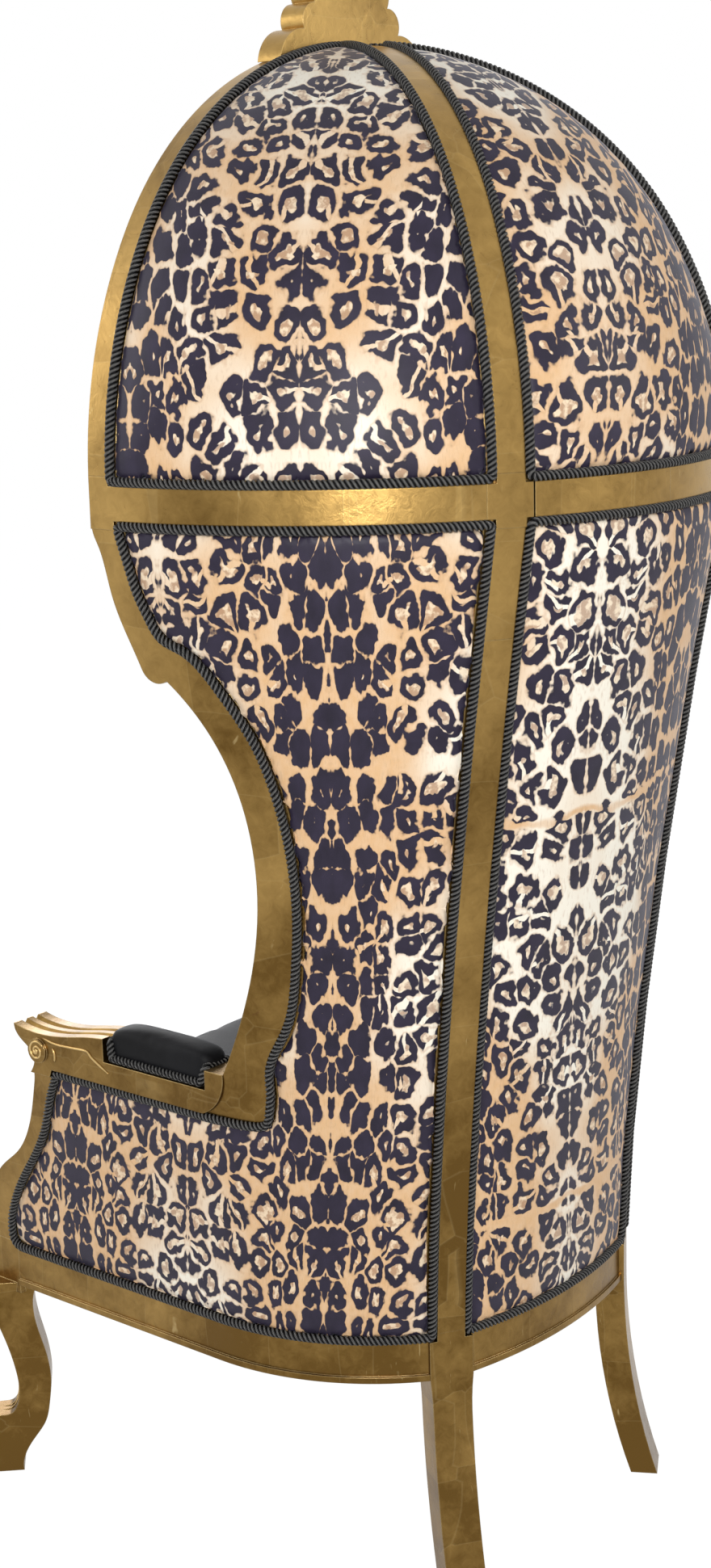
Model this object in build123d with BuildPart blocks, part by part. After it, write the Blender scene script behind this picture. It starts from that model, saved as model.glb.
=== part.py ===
from build123d import *
from math import cos, radians, sin, sqrt
import os

# Hall porter chair: a gilded frame cut from boards, with padded outside panels, corded edges and a
# lined hood. Millimetres. The origin is on the floor, under the axis of the domed hood. The chair
# faces -Y, and the sitter's left is +X.
os.makedirs("parts", exist_ok=True)

# Heights
rail_bottom = 248.0  # underside of the seat rails
rail_height = 53.0
arm_top = 590.0  # top of the arm's tail, behind its pad
arm_height = 49.0  # gilded face of the arm, down to the cord below it
belt_bottom = 1170.0  # underside of the level belt at ear height
belt_height = 52.0
hood_rise = 35.0  # how much further the hood stands up above its spring line than out from its axis
crest_height = 150.0

# Plan of the body
hood_radius = 392.0
rail_half_width = 285.0
body_front = 374.0  # front of the seat frame, ahead of the hood's axis
rail_post_x = 168.0  # where each rear post meets the seat frame
rail_post_y = 227.0
rail_back_bow = 27.0
rib_angle = 60.0  # of the left rib and post, from +X
flare_power = 1.45
shoulder_set = 81.0  # how far the centre of the hood's lower arcs lies past its axis

# Frame members
frame_depth = 34.0
cord_band = 9.0  # margin of a member that the cord covers
rebate = 4.0  # depth of that margin
rib_face = 30.0  # gilded face of a rib, between its cords
post_face = 32.0
arch_depth = 35.0
arch_width = 42.0
arch_setback = 5.0  # the arch's back face, behind the hood's axis
rail_thickness = 46.0
bead_height = 7.0
bead_proud = 3.0
fit_gap = 0.3
overrun = 60.0  # how far a cutter runs past what it cuts

# Derived stations
rail_top = rail_bottom + rail_height
belt_top = belt_bottom + belt_height
spring_line = belt_top - cord_band
hood_height = hood_radius + hood_rise
hood_top = spring_line + hood_height
flare_bottom = rail_top - cord_band
flare_top = belt_bottom + cord_band
arm_under = arm_top - arm_height
arch_front_y = arch_setback - arch_depth
arch_gold_y = arch_setback - cord_band
rib_along = Vector(cos(radians(rib_angle)), sin(radians(rib_angle)), 0)
rib_across = Vector(sin(radians(rib_angle)), -cos(radians(rib_angle)), 0)
rail_post = Vector(rail_post_x, rail_post_y, 0)
belt_post = rib_along * hood_radius
post_along = (belt_post - rail_post).normalized()
post_across = Vector(post_along.Y, -post_along.X, 0)
post_reach = (belt_post - rail_post).length
skew = post_along.dot(rib_along)
far = hood_radius + overrun

shoulder_bands = 4  # flat bands of the hood's hidden inner face
crown_bands = 4
stave_count = 24
side_bands = 4  # straights that stand for each arc of the body's hidden faces
back_bands = 4

# The hood's outline is two arcs that meet in line: a shoulder, upright at the spring line, and a crown.
shoulder_radius = hood_radius + shoulder_set
crown_lift = hood_rise * (2 * shoulder_set - hood_rise) / (2 * (shoulder_set - hood_rise))
crown_radius = hood_height - crown_lift
crown_centre = Vector(0, spring_line + crown_lift)
shoulder_centre = Vector(-shoulder_set, spring_line)
join_line = (crown_centre - shoulder_centre).normalized()


def save(piece, name):
    """Label a finished piece and write it."""
    piece.label = name
    export_step(piece, f"parts/{name}.step")


def save_pair(piece, name):
    """Write the sitter's left piece and its mirrored twin."""
    save(piece, f"{name}_left")
    save(mirror(piece, about=Plane.YZ), f"{name}_right")


def place_on(corner, spans, shares):
    """Points of an outline: a corner plus shares of the two sizes that the outline fills."""
    return [(corner[0] + spans[0] * a, corner[1] + spans[1] * b) for a, b in shares]


def body_plan(height, flare, inset=0.0, front=body_front):
    """Plan of the body: straight sides, an arc from each side to its post, and a bowed back."""
    side = rail_half_width + (hood_radius - rail_half_width) * flare - inset
    post = rail_post + post_along * post_reach * flare - rib_along * inset
    belt_bow = hood_radius - belt_post.Y
    bow = rail_back_bow + (belt_bow - rail_back_bow) * flare
    with BuildSketch(Plane.XY.offset(height)) as plan:
        with BuildLine():
            Polyline((-side, 0), (-side, -front), (side, -front), (side, 0))
            TangentArc((side, 0), (post.X, post.Y), tangent=(0, 1))
            ThreePointArc((post.X, post.Y), (0, post.Y + bow), (-post.X, post.Y))
            TangentArc((-side, 0), (-post.X, post.Y), tangent=(0, 1))
        make_face()
    return plan.sketch


def banded_plan(height, flare, inset):
    """Plan of a hidden face of the body: the same outline, its arcs sawn as short straights."""
    with BuildLine():
        arcs = body_plan(height, flare, inset).edges().filter_by(GeomType.CIRCLE).sort_by(Axis.X)
    left_arc = arcs[-1]
    back_arc = arcs[1]
    side = max((left_arc @ 0).X, (left_arc @ 1).X)
    left = [left_arc @ (step / side_bands) for step in range(side_bands + 1)]
    left.sort(key=lambda point: point.Y)
    back = [back_arc @ (step / back_bands) for step in range(1, back_bands)]
    back.sort(key=lambda point: -point.X)
    turn = [flat(point) for point in left]
    points = [(side, -body_front)] + turn + [flat(point) for point in back]
    points += [(-x, y) for x, y in reversed(turn)] + [(-side, -body_front)]
    with BuildSketch(Plane.XY.offset(height)) as plan:
        Polygon(*points, align=None)
    return plan.sketch


def body_block(inset=0.0, banded=False):
    """The flaring body below the belt as one closed block, set in by an even depth.

    Its outer face is one smooth sweep, and its hidden faces are banded."""
    height_shares = (0, 0.14, 0.32, 0.52, 0.76, 1)
    with BuildPart() as block:
        plans = []
        for share in height_shares:
            height = flare_bottom + (flare_top - flare_bottom) * share
            outline = banded_plan if banded else body_plan
            plans.append(outline(height, share**flare_power, inset))
        loft(sections=[plan.faces()[0] for plan in plans], ruled=inset != 0)
    return block.part


def hood_outline(inset=0.0):
    """The arcs of the hood's outline in the XZ plane: spring point, join point and top."""
    spring = (hood_radius - inset, spring_line)
    mid_turn = Vector(1, 0).get_angle(join_line) / 2
    shoulder_mid = shoulder_centre + Vector(shoulder_radius - inset, 0).rotate(Axis.Z, mid_turn)
    join = crown_centre + join_line * (crown_radius - inset)
    top = (0, hood_top - inset)
    return spring, shoulder_mid, join, top


def crown_ring(inset, step):
    """Radius and height of one ring of the hood's inner face, above its shoulder."""
    shoulder_turn = Vector(1, 0).get_angle(join_line)
    turn = shoulder_turn + (90 - shoulder_turn) * step / crown_bands
    return flat(crown_centre + Vector(crown_radius - inset, 0).rotate(Axis.Z, turn))


def hood_shell(inset, bottom=spring_line):
    """The hidden inner face of the hood and of the belt under it, coopered from flat staves."""
    shoulder_turn = Vector(1, 0).get_angle(join_line)
    rings = [(hood_radius - inset, bottom)]
    for step in range(1, shoulder_bands + 1):
        turn = shoulder_turn * step / shoulder_bands
        rings.append(flat(shoulder_centre + Vector(shoulder_radius - inset, 0).rotate(Axis.Z, turn)))
    rings += [crown_ring(inset, step) for step in range(1, crown_bands)]
    with BuildPart() as block:
        for radius, height in rings:
            with BuildSketch(Plane.XY.offset(height)):
                RegularPolygon(radius, stave_count)
        loft(ruled=True)
    return block.part


def hood_block(inset=0.0):
    """The domed hood above the belt as one closed block, set in by an even depth."""
    spring, shoulder_mid, join, top = hood_outline(inset)
    with BuildPart() as block:
        with BuildSketch(Plane.XZ):
            with BuildLine():
                ThreePointArc(spring, shoulder_mid, join)
                TangentArc(top, join, tangent=(1, 0))
                Polyline(top, (0, spring_line), spring)
            make_face()
        revolve(axis=Axis.Z)
    return block.part


def belt_block(inset, bottom, top):
    """The upright belt between two heights, as one closed block."""
    radius = hood_radius - inset
    with BuildPart() as block:
        with BuildSketch(Plane.XY.offset(bottom)):
            with BuildLine():
                Polyline((-radius, 0), (-radius, arch_front_y), (radius, arch_front_y), (radius, 0))
                RadiusArc((radius, 0), (-radius, 0), -radius)
            make_face()
        extrude(amount=top - bottom)
    return block.part


def zone(points, bottom, top):
    """An upright prism over a plan outline."""
    with BuildPart() as prism:
        with BuildSketch(Plane.XY.offset(bottom)):
            Polygon(*points, align=None)
        extrude(amount=top - bottom)
    return prism.part


def flat(point):
    """A plan point of a vector."""
    return (point.X, point.Y)


def side_zone(gap, bottom=0.0, top=hood_top, along=post_along):
    """Everything ahead of the left post's front face, on the sitter's left."""
    edge = rail_post + rib_across * (post_face / 2 + gap)
    ahead = edge - along * 2 * far
    behind = edge + along * far
    return zone([flat(behind), flat(ahead), (2 * far, ahead.Y), (2 * far, behind.Y)], bottom, top)


def back_zone(gap, bottom=0.0, top=hood_top, along=post_along):
    """Everything between the back faces of the two posts."""
    edge = rail_post - rib_across * (post_face / 2 + gap)
    ahead = edge - along * (rail_post_y / 2)
    behind = edge + along * far
    return zone([flat(behind), flat(ahead), (-ahead.X, ahead.Y), (-behind.X, behind.Y)], bottom, top)


# The opening that the side panel fills, seen from the side. Its front edge runs down the wing, round
# the long C-curve to the arm, along under the arm and down the arm's stump to the seat rail.
wing_gold_y = 2.0
curve_depth = 137.0
stump_top_y = -228.0
stump_foot_y = -337.0
stump_corner = 20.0
arm_corner = 26.0
stump_lean = 15.0  # of the stump's rear edge where it meets the arm
wing_steps = 28
stump_steps = 9
wing_edge_shares = (
    (0, 1), (0.05, 0.925), (0.07, 0.9), (0.18, 0.838), (0.25, 0.814), (0.345, 0.803), (0.47, 0.79),
    (0.61, 0.755), (0.74, 0.71), (0.85, 0.662), (0.96, 0.57), (1, 0.466), (0.985, 0.38),
    (0.915, 0.27), (0.8, 0.175), (0.62, 0.085),
)
stump_rear_shares = ((0, 1), (0.1, 0.9), (0.294, 0.683), (0.706, 0.41), (0.945, 0.217), (1, 0.08))


def step_left(edge, count, margin):
    """Evenly spaced points along an edge, each moved square to it, to the left, by a margin."""
    points = []
    for step in range(count + 1):
        place = edge @ (step / count)
        heading = edge % (step / count)
        points.append((place.X - heading.Y * margin, place.Y + heading.X * margin))
    return points


def side_outline(margin):
    """The side opening from the side, drawn in by a margin from its gilded edge."""
    stump_slope = (-sin(radians(stump_lean)), -cos(radians(stump_lean)))
    wing = place_on((wing_gold_y, arm_under), (curve_depth, flare_top - arm_under), wing_edge_shares)
    stump = place_on(
        (stump_top_y, flare_bottom), (stump_foot_y - stump_top_y, arm_under - flare_bottom), stump_rear_shares
    )
    with BuildLine():
        wing_edge = Spline(*wing, (wing[-1][0] - arm_corner, arm_under), tangents=((0, -1), (-1, 0)))
        stump_edge = Spline(*stump, tangents=(stump_slope, (0, -1)))
    wing_moved = step_left(wing_edge, wing_steps, margin)
    wing_moved[0] = (wing_gold_y + margin, flare_top - margin)
    stump_moved = step_left(stump_edge, stump_steps, margin)
    run = margin * (1 + stump_slope[0]) / -stump_slope[1]
    stump_moved[0] = (stump_top_y + run, arm_under - margin)
    foot = (stump_foot_y + stump_corner, flare_bottom + margin)
    head = (far, flare_top - margin)
    with BuildSketch(Plane.YZ) as outline:
        with BuildLine():
            Line(head, wing_moved[0])
            Spline(*wing_moved, tangents=((0, -1), (-1, 0)))
            Line(wing_moved[-1], stump_moved[0])
            Spline(*stump_moved, tangents=(stump_slope, (0, -1)))
            TangentArc(stump_moved[-1], foot, tangent=(0, -1))
            Polyline(foot, (far, flare_bottom + margin), head)
        make_face()
    return outline.sketch


def side_opening(margin):
    """The left side opening as a prism, drawn in by a margin from its gilded edges."""
    with BuildPart() as opening:
        add(extrude(side_outline(margin), amount=far))
        add(side_zone(margin), mode=Mode.INTERSECT)
    return opening.part


def back_opening(margin):
    """The opening between the posts, from the back rail to the belt."""
    return back_zone(margin, flare_bottom + margin, flare_top - margin)


def hood_side_opening(margin):
    """The hood's left opening, between the arch and the left rib."""
    front = arch_gold_y + margin
    edge = rib_across * (rib_face / 2 + margin)
    tip = edge + rib_along * ((front - edge.Y) / rib_along.Y)
    end = edge + rib_along * far
    points = [flat(tip), (far, front), (far, far), flat(end)]
    return zone(points, spring_line + margin, hood_top + overrun)


def hood_back_opening(margin):
    """The hood's rear opening, between the two ribs."""
    edge = rib_across * -(rib_face / 2 + margin)
    tip = edge + rib_along * (-edge.X / rib_along.X)
    end = edge + rib_along * far
    points = [flat(tip), flat(end), (0, far), (-end.X, end.Y)]
    return zone(points, spring_line + margin, hood_top + overrun)


def channel(outside, inside, opening):
    """What a cord's rebate removes from the members round an opening."""
    with BuildPart() as cut:
        add(outside)
        add(inside, mode=Mode.SUBTRACT)
        add(opening, mode=Mode.INTERSECT)
    return cut.part


body_face = body_block()
body_rebate = body_block(rebate)
body_inner = body_block(frame_depth, banded=True)
body_outer = body_block(-2 * cord_band)
hood_face = hood_block()
hood_rebate = hood_block(rebate)
hood_inner = hood_shell(frame_depth)
hood_outer = hood_block(-2 * cord_band)

side_channel = channel(body_outer, body_rebate, side_opening(0))
back_channel = channel(body_outer, body_rebate, back_opening(0))
hood_side_channel = channel(hood_outer, hood_rebate, hood_side_opening(0))
hood_back_channel = channel(hood_outer, hood_rebate, hood_back_opening(0))

# Rear posts. Each is sawn from one board: a sabre leg, a block that takes the seat rails, and a stick
# that leans out to the belt. The stick's top is a separate head, scarfed on below the belt.
post_width = post_face + 2 * cord_band
leg_width = 45.0
leg_foot_depth = 31.0
leg_splay = 39.0
leg_waist = 205.0  # where the leg's upper flare ends
head_bottom = 1060.0


def post_stick(bottom, top):
    """A length of the left post above the seat frame, its face square to the rib."""
    lean_shares = (0, 0.14, 0.32, 0.52, 0.76, 1)
    depth = frame_depth / skew
    front = [
        (post_reach * share**flare_power, flare_bottom + (flare_top - flare_bottom) * share)
        for share in lean_shares
    ]
    back = [(along - depth, height) for along, height in front]
    stick_plane = Plane(origin=rail_post, x_dir=post_along, z_dir=post_across)
    with BuildPart() as stick:
        with BuildSketch(stick_plane) as profile:
            with BuildLine():
                Spline(*front)
                Line(front[-1], back[-1])
                Spline(*back)
                Line(back[0], front[0])
            make_face()
        extrude(amount=post_width / 2, dir=rib_across, both=True)
        with BuildSketch(Plane.XY.offset(bottom)):
            Rectangle(2 * far, 2 * far)
        extrude(amount=top - bottom, mode=Mode.INTERSECT)
    return stick.part


with BuildPart() as rear_post:
    leg_plane = Plane(origin=rail_post, x_dir=rib_along, z_dir=rib_across)
    with BuildSketch(leg_plane):
        with BuildLine():
            Polyline((-frame_depth, rail_bottom), (-frame_depth, rail_top), (0, rail_top), (0, rail_bottom))
            TangentArc((0, rail_bottom), (leg_splay, 0), tangent=(0, -1))
            Line((leg_splay, 0), (leg_splay - leg_foot_depth, 0))
            TangentArc((-frame_depth, rail_bottom), (leg_splay - leg_foot_depth, 0), tangent=(0, -1))
        make_face()
    extrude(amount=post_width / 2, both=True)
    with BuildSketch(Plane(origin=rail_post, x_dir=rib_across, z_dir=-rib_along)):
        with BuildLine(Plane.XY):
            Polyline(
                (-leg_width / 2, leg_waist),
                (-leg_width / 2, 0),
                (leg_width / 2, 0),
                (leg_width / 2, leg_waist),
            )
            TangentArc((leg_width / 2, leg_waist), (post_width / 2, rail_bottom), tangent=(0, 1))
            Polyline(
                (post_width / 2, rail_bottom),
                (post_width / 2, rail_top),
                (-post_width / 2, rail_top),
                (-post_width / 2, rail_bottom),
            )
            TangentArc((-leg_width / 2, leg_waist), (-post_width / 2, rail_bottom), tangent=(0, 1))
        make_face()
    extrude(amount=far, both=True, mode=Mode.INTERSECT)
    add(post_stick(rail_top, head_bottom))
    add(side_channel, mode=Mode.SUBTRACT)
    add(back_channel, mode=Mode.SUBTRACT)
save_pair(rear_post.part, "rear_post")


def rib_zone(half_width, bottom, top):
    """A slab along the left rib's radius, cut square at the chair's middle plane."""
    near = rib_across * half_width
    end = rib_along * far
    points = [(0, 0), flat(near), flat(end + near), flat(end - near), (0, -2 * near.Y)]
    return zone(points, bottom, top)


belt_ring_outer = belt_block(0, belt_bottom, belt_top)
belt_ring_inner = belt_block(frame_depth, belt_bottom, belt_top)
head_half = post_width / 2

with BuildPart() as post_head:
    add(belt_ring_outer)
    add(belt_ring_inner, mode=Mode.SUBTRACT)
    add(rib_zone(head_half, belt_bottom, belt_top), mode=Mode.INTERSECT)
    add(post_stick(head_bottom, belt_bottom))
    add(side_channel, mode=Mode.SUBTRACT)
    add(back_channel, mode=Mode.SUBTRACT)
    add(hood_side_channel, mode=Mode.SUBTRACT)
    add(hood_back_channel, mode=Mode.SUBTRACT)
save_pair(post_head.part, "post_head")


def belt_piece(plan_points):
    """A length of the belt over a plan zone, rebated for the cords along it."""
    with BuildPart() as belt:
        add(belt_ring_outer)
        add(belt_ring_inner, mode=Mode.SUBTRACT)
        add(zone(plan_points, belt_bottom, belt_top), mode=Mode.INTERSECT)
        for cut in (side_channel, back_channel, hood_side_channel, hood_back_channel):
            add(cut, mode=Mode.SUBTRACT)
    return belt.part


head_front = rib_across * head_half
head_back = rib_across * -head_half
head_end = rib_along * 2 * far
side_points = [flat(head_front), (0, -far), (2 * far, -far), flat(head_end + head_front)]
back_points = [(0, head_back.Y), flat(head_back), flat(head_end + head_back), (0, 2 * far)]
save_pair(belt_piece(side_points), "belt_side")
save_pair(belt_piece(back_points), "belt_back")

# Dome ribs and the crown block that they and the arch meet on
crown_block_radius = 88.0
crown_block_depth = 14.0

with BuildPart() as dome_rib:
    add(hood_face)
    add(hood_inner, mode=Mode.SUBTRACT)
    add(rib_zone(rib_face / 2 + cord_band, belt_top, hood_top + overrun), mode=Mode.INTERSECT)
    with BuildSketch(Plane.XY.offset(belt_top)):
        with Locations((0, arch_setback)):
            Rectangle(far, far, align=(Align.MIN, Align.MIN))
    extrude(amount=hood_height + overrun, mode=Mode.INTERSECT)
    add(hood_side_channel, mode=Mode.SUBTRACT)
    add(hood_back_channel, mode=Mode.SUBTRACT)
save_pair(dome_rib.part, "dome_rib")

crown_flat = crown_ring(frame_depth, crown_bands - 1)[1]
crown_underside = crown_flat - crown_block_depth
with BuildPart() as crown_block:
    with BuildSketch(Plane.XY.offset(crown_underside)):
        Circle(crown_block_radius)
        with Locations((0, arch_setback)):
            Rectangle(2 * far, 2 * far, align=(Align.CENTER, Align.MIN), mode=Mode.INTERSECT)
    extrude(amount=crown_block_depth + frame_depth)
    add(hood_shell(frame_depth + fit_gap), mode=Mode.INTERSECT)
save(crown_block.part, "crown_block")

# Front arch: a hoop in two halves, joined at the top under the crest, standing on the belt's ends
with BuildPart() as arch:
    spring, shoulder_mid, join, top = hood_outline()
    inner_spring, inner_mid, inner_join, inner_top = hood_outline(arch_width)
    arch_plane = Plane(origin=(0, arch_setback, 0), x_dir=(1, 0, 0), z_dir=(0, -1, 0))
    with BuildSketch(arch_plane):
        with BuildLine():
            ThreePointArc(spring, shoulder_mid, join)
            TangentArc(top, join, tangent=(1, 0))
            Line(top, inner_top)
            TangentArc(inner_top, inner_join, tangent=(1, 0))
            ThreePointArc(inner_spring, inner_mid, inner_join)
            Line(inner_spring, spring)
        make_face()
        with Locations((0, belt_top)):
            Rectangle(2 * far, hood_height, align=(Align.CENTER, Align.MIN), mode=Mode.INTERSECT)
    extrude(amount=arch_depth)
    add(hood_side_channel, mode=Mode.SUBTRACT)
save_pair(arch.part, "arch")

# Crest: a sawn board in diminishing lobes, set on the arch
crest_front = 5.0  # how far it stands ahead of the arch
crest_seat_x = 117.0
crest_shares = (
    (1, 0), (0.9, 0.14), (0.66, 0.2), (0.675, 0.27), (0.51, 0.36), (0.53, 0.48), (0.36, 0.6),
    (0.37, 0.73), (0.19, 0.84), (0, 1),
)
crest_foot_z = crown_centre.Y + sqrt(crown_radius**2 - crest_seat_x**2)
crest_top = hood_top + crest_height
with BuildPart() as crest:
    with BuildSketch(Plane(origin=(0, arch_gold_y, 0), x_dir=(1, 0, 0), z_dir=(0, -1, 0))):
        points = place_on((0, crest_foot_z), (crest_seat_x, crest_top - crest_foot_z), crest_shares)
        with BuildLine():
            ThreePointArc(points[0], points[1], points[2])
            ThreePointArc(points[2], points[3], points[4])
            ThreePointArc(points[4], points[5], points[6])
            ThreePointArc(points[6], points[7], points[8])
            TangentArc(points[9], points[8], tangent=(1, 0))
            below = crest_foot_z - overrun
            Polyline(points[9], (0, below), (crest_seat_x, below), points[0])
        make_face()
        mirror(about=Plane.YZ)
    extrude(amount=arch_depth - cord_band + crest_front)
    with BuildSketch(arch_plane):
        with Locations((0, crown_centre.Y)):
            Circle(crown_radius + fit_gap)
    extrude(amount=2 * arch_depth, mode=Mode.SUBTRACT)
save(crest.part, "crest")

# Side rails of the frame, sawn to the body's own curve
wing_reach = 136.0  # depth of the wing's front edge, from the arch's face to the C-curve
wing_front_shares = ((0, 1), (0.03, 0.972), (0.088, 0.881), (0.265, 0.759))
wing_lobe_shares = ((0.265, 0.759), (0.355, 0.736), (0.49, 0.74))
wing_curve_shares = ((0.49, 0.74), (0.838, 0.629), (1, 0.428), (0.86, 0.212), (0.485, 0))
arm_joint_y = 5.0  # where the arm meets the wing rail, above the cord
arm_joint_shares = ((1, 1), (0.82, 0.45), (0, 0))
arm_margin_z = arm_under - cord_band


def sawn_rail(outline):
    """A board sawn to an outline from the side and to the body's curve, and rebated for the cord."""
    with BuildPart() as rail:
        add(extrude(outline, amount=far))
        add(side_margin, mode=Mode.SUBTRACT)
        add(body_face, mode=Mode.INTERSECT)
        add(body_inner, mode=Mode.SUBTRACT)
        add(side_channel, mode=Mode.SUBTRACT)
    return rail.part


wing_tail_y = arch_front_y + wing_reach * wing_curve_shares[-1][0]
arm_joint = place_on((arm_joint_y, arm_under), (wing_tail_y - arm_joint_y, arm_height), arm_joint_shares)
side_margin = side_opening(cord_band)

blank_corner = (arch_front_y, arm_top)
blank_spans = (wing_reach, belt_bottom - arm_top)
blank_plane = Plane.YZ.offset(rail_half_width / 2)
blank_back = wing_gold_y + curve_depth + 2 * cord_band
with BuildSketch(blank_plane) as wing_blank:
    with BuildLine():
        front = place_on(blank_corner, blank_spans, wing_front_shares)
        lobe = place_on(blank_corner, blank_spans, wing_lobe_shares)
        curve = place_on(blank_corner, blank_spans, wing_curve_shares)
        Spline(*front, tangents=((0, -1), (front[3][0] - front[2][0], front[3][1] - front[2][1])))
        ThreePointArc(*lobe)
        Spline(*curve)
        ThreePointArc(*arm_joint)
        Polyline(
            arm_joint[-1],
            (arm_joint_y, arm_margin_z - cord_band),
            (blank_back, arm_margin_z - cord_band),
            (blank_back, belt_bottom),
            front[0],
        )
    make_face()
save_pair(sawn_rail(wing_blank.sketch), "wing_rail")

# Arm: a scrolled rail along the top of the side, with a seat cut in it for its pad
arm_width = 50.0
arm_outer_x = 306.0
arm_tip_y = -286.0
arm_neck_y = -262.0
pad_front_y = -143.0
pad_back_y = 10.0
pad_seat_drop = 22.0  # depth of the pad's seat below the arm's tail
scroll_radius = 14.0
scroll_y = -247.5
scroll_z = arm_under + 1.4 * scroll_radius
scroll_proud = 3.0
arm_nose_shares = ((0, 0), (0.1, 0.45), (-0.5, 0.62), (-1, 0.93))
arm_top_shares = ((0, 0.93), (0.3, 0.845), (0.54, 0.9), (0.85, 1.04), (1, 1.08))
flute_size = 6.0
flute_count = 2

arm_blank_height = arm_top - arm_margin_z
nose = place_on((arm_neck_y, arm_margin_z), (arm_neck_y - arm_tip_y, arm_blank_height), arm_nose_shares)
arm_crest = place_on((arm_tip_y, arm_margin_z), (pad_front_y - arm_tip_y, arm_blank_height), arm_top_shares)
pad_seat_z = arm_top - pad_seat_drop
arm_inner_x = arm_outer_x - arm_width
with BuildPart() as arm_rail:
    with BuildSketch(Plane.YZ.offset(arm_inner_x)):
        with BuildLine():
            Spline(*nose)
            Spline(*arm_crest)
            Polyline(
                arm_crest[-1],
                (pad_front_y, pad_seat_z),
                (pad_back_y, pad_seat_z),
                (pad_back_y, arm_top),
                arm_joint[0],
            )
            ThreePointArc(*arm_joint)
            Polyline(arm_joint[-1], (arm_joint_y, arm_margin_z), nose[0])
        make_face()
    extrude(amount=arm_width)
    for flute in range(flute_count):
        flute_x = arm_inner_x + arm_width * (flute + 1) / (flute_count + 1)
        with BuildLine(Plane.YZ.offset(flute_x)) as flute_path:
            Spline(*arm_crest)
        with BuildSketch(Plane(origin=flute_path.line @ 0, x_dir=(1, 0, 0), z_dir=flute_path.line % 0)):
            Rectangle(flute_size, flute_size, rotation=45)
        sweep(path=flute_path.line, mode=Mode.SUBTRACT)
    with BuildSketch(Plane.YZ.offset(arm_inner_x - scroll_proud)):
        with Locations((scroll_y, scroll_z)):
            Circle(scroll_radius)
    extrude(amount=arm_width + 2 * scroll_proud)
    add(side_channel, mode=Mode.SUBTRACT)
save_pair(arm_rail.part, "arm_rail")

# Arm stump: the S-curved upright from the seat frame to the arm's scroll
stump_front_shares = (
    (0, 1), (0.03, 0.92), (0.13, 0.76), (0.42, 0.52), (0.74, 0.385), (0.93, 0.23), (1, 0.07),
)
stump_span = -body_front - arm_neck_y
stump_front = place_on((arm_neck_y, rail_top), (stump_span, arm_margin_z - rail_top), stump_front_shares)
with BuildSketch(blank_plane) as stump_blank:
    with BuildLine():
        Spline(*stump_front, tangents=((0, -1), (0, -1)))
        Polyline(
            stump_front[-1],
            (stump_front[-1][0], rail_top),
            (stump_top_y, rail_top),
            (stump_top_y, arm_margin_z),
            stump_front[0],
        )
    make_face()
save_pair(sawn_rail(stump_blank.sketch), "arm_stump")

# Cabriole front legs, sawn on the diagonal and then to a tapering front view, under a square block
leg_block = 48.0
leg_reach = 70.0  # from the block's centre to the toe, along the diagonal
leg_knee_half = 30.0
block_bottom = rail_bottom - leg_block / 4
leg_back_shares = (
    (-0.29, 1), (-0.18, 0.867), (-0.22, 0.762), (-0.336, 0.629), (-0.407, 0.456), (-0.364, 0.347),
    (-0.279, 0.25), (-0.08, 0.169), (0.08, 0.097), (0.136, 0),
)
leg_front_shares = (
    (0.63, 1), (0.6, 0.92), (0.51, 0.84), (0.279, 0.641), (0.164, 0.488), (0.164, 0.371), (0.3, 0.3),
    (0.53, 0.292), (0.78, 0.26), (0.96, 0.19), (0.99, 0.11), (0.9, 0.04), (0.84, 0),
)
leg_taper_shares = ((1, 1), (0.8, 0.81), (0.62, 0.49), (0.6, 0.37), (0.72, 0.15), (0.7, 0))
leg_x = rail_half_width - leg_block / 2
leg_y = -body_front + leg_block / 2
leg_out = Vector(1, -1, 0).normalized()
leg_side = Vector(1, 1, 0).normalized()
with BuildPart() as front_leg:
    leg_centre = Vector(leg_x, leg_y, 0)
    with BuildSketch(Plane(origin=leg_centre, x_dir=leg_out, z_dir=-leg_side)):
        with BuildLine():
            back = place_on((0, 0), (leg_reach, rail_bottom), leg_back_shares)
            shin = place_on((0, 0), (leg_reach, rail_bottom), leg_front_shares)
            Spline(*back)
            Spline(*shin)
            Line(back[0], shin[0])
            Line(back[-1], shin[-1])
        make_face()
    extrude(amount=leg_knee_half, both=True)
    with BuildSketch(Plane(origin=leg_centre, x_dir=leg_side, z_dir=leg_out)):
        with BuildLine():
            taper = place_on((0, 0), (leg_knee_half, rail_bottom), leg_taper_shares)
            Spline(*taper)
            Line(taper[-1], (0, 0))
            Line(taper[0], (0, rail_bottom))
            Line((0, 0), (0, rail_bottom))
        make_face()
        mirror(about=Plane.YZ)
    extrude(amount=2 * leg_reach, both=True, mode=Mode.INTERSECT)
    with BuildSketch(Plane.XY.offset(block_bottom)):
        with Locations((leg_x, leg_y)):
            Rectangle(leg_block, leg_block)
    extrude(amount=rail_top - block_bottom)
    add(side_channel, mode=Mode.SUBTRACT)
save_pair(front_leg.part, "front_leg")


def rail_ring():
    """The seat frame's curved rails in one run, with the bead along their lower edge."""
    with BuildPart() as ring:
        add(extrude(body_plan(rail_bottom, 0), amount=rail_height))
        add(extrude(body_plan(rail_bottom, 0, -bead_proud), amount=bead_height))
        add(extrude(body_plan(rail_bottom, 0, rail_thickness), amount=rail_height), mode=Mode.SUBTRACT)
    return ring.part


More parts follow.
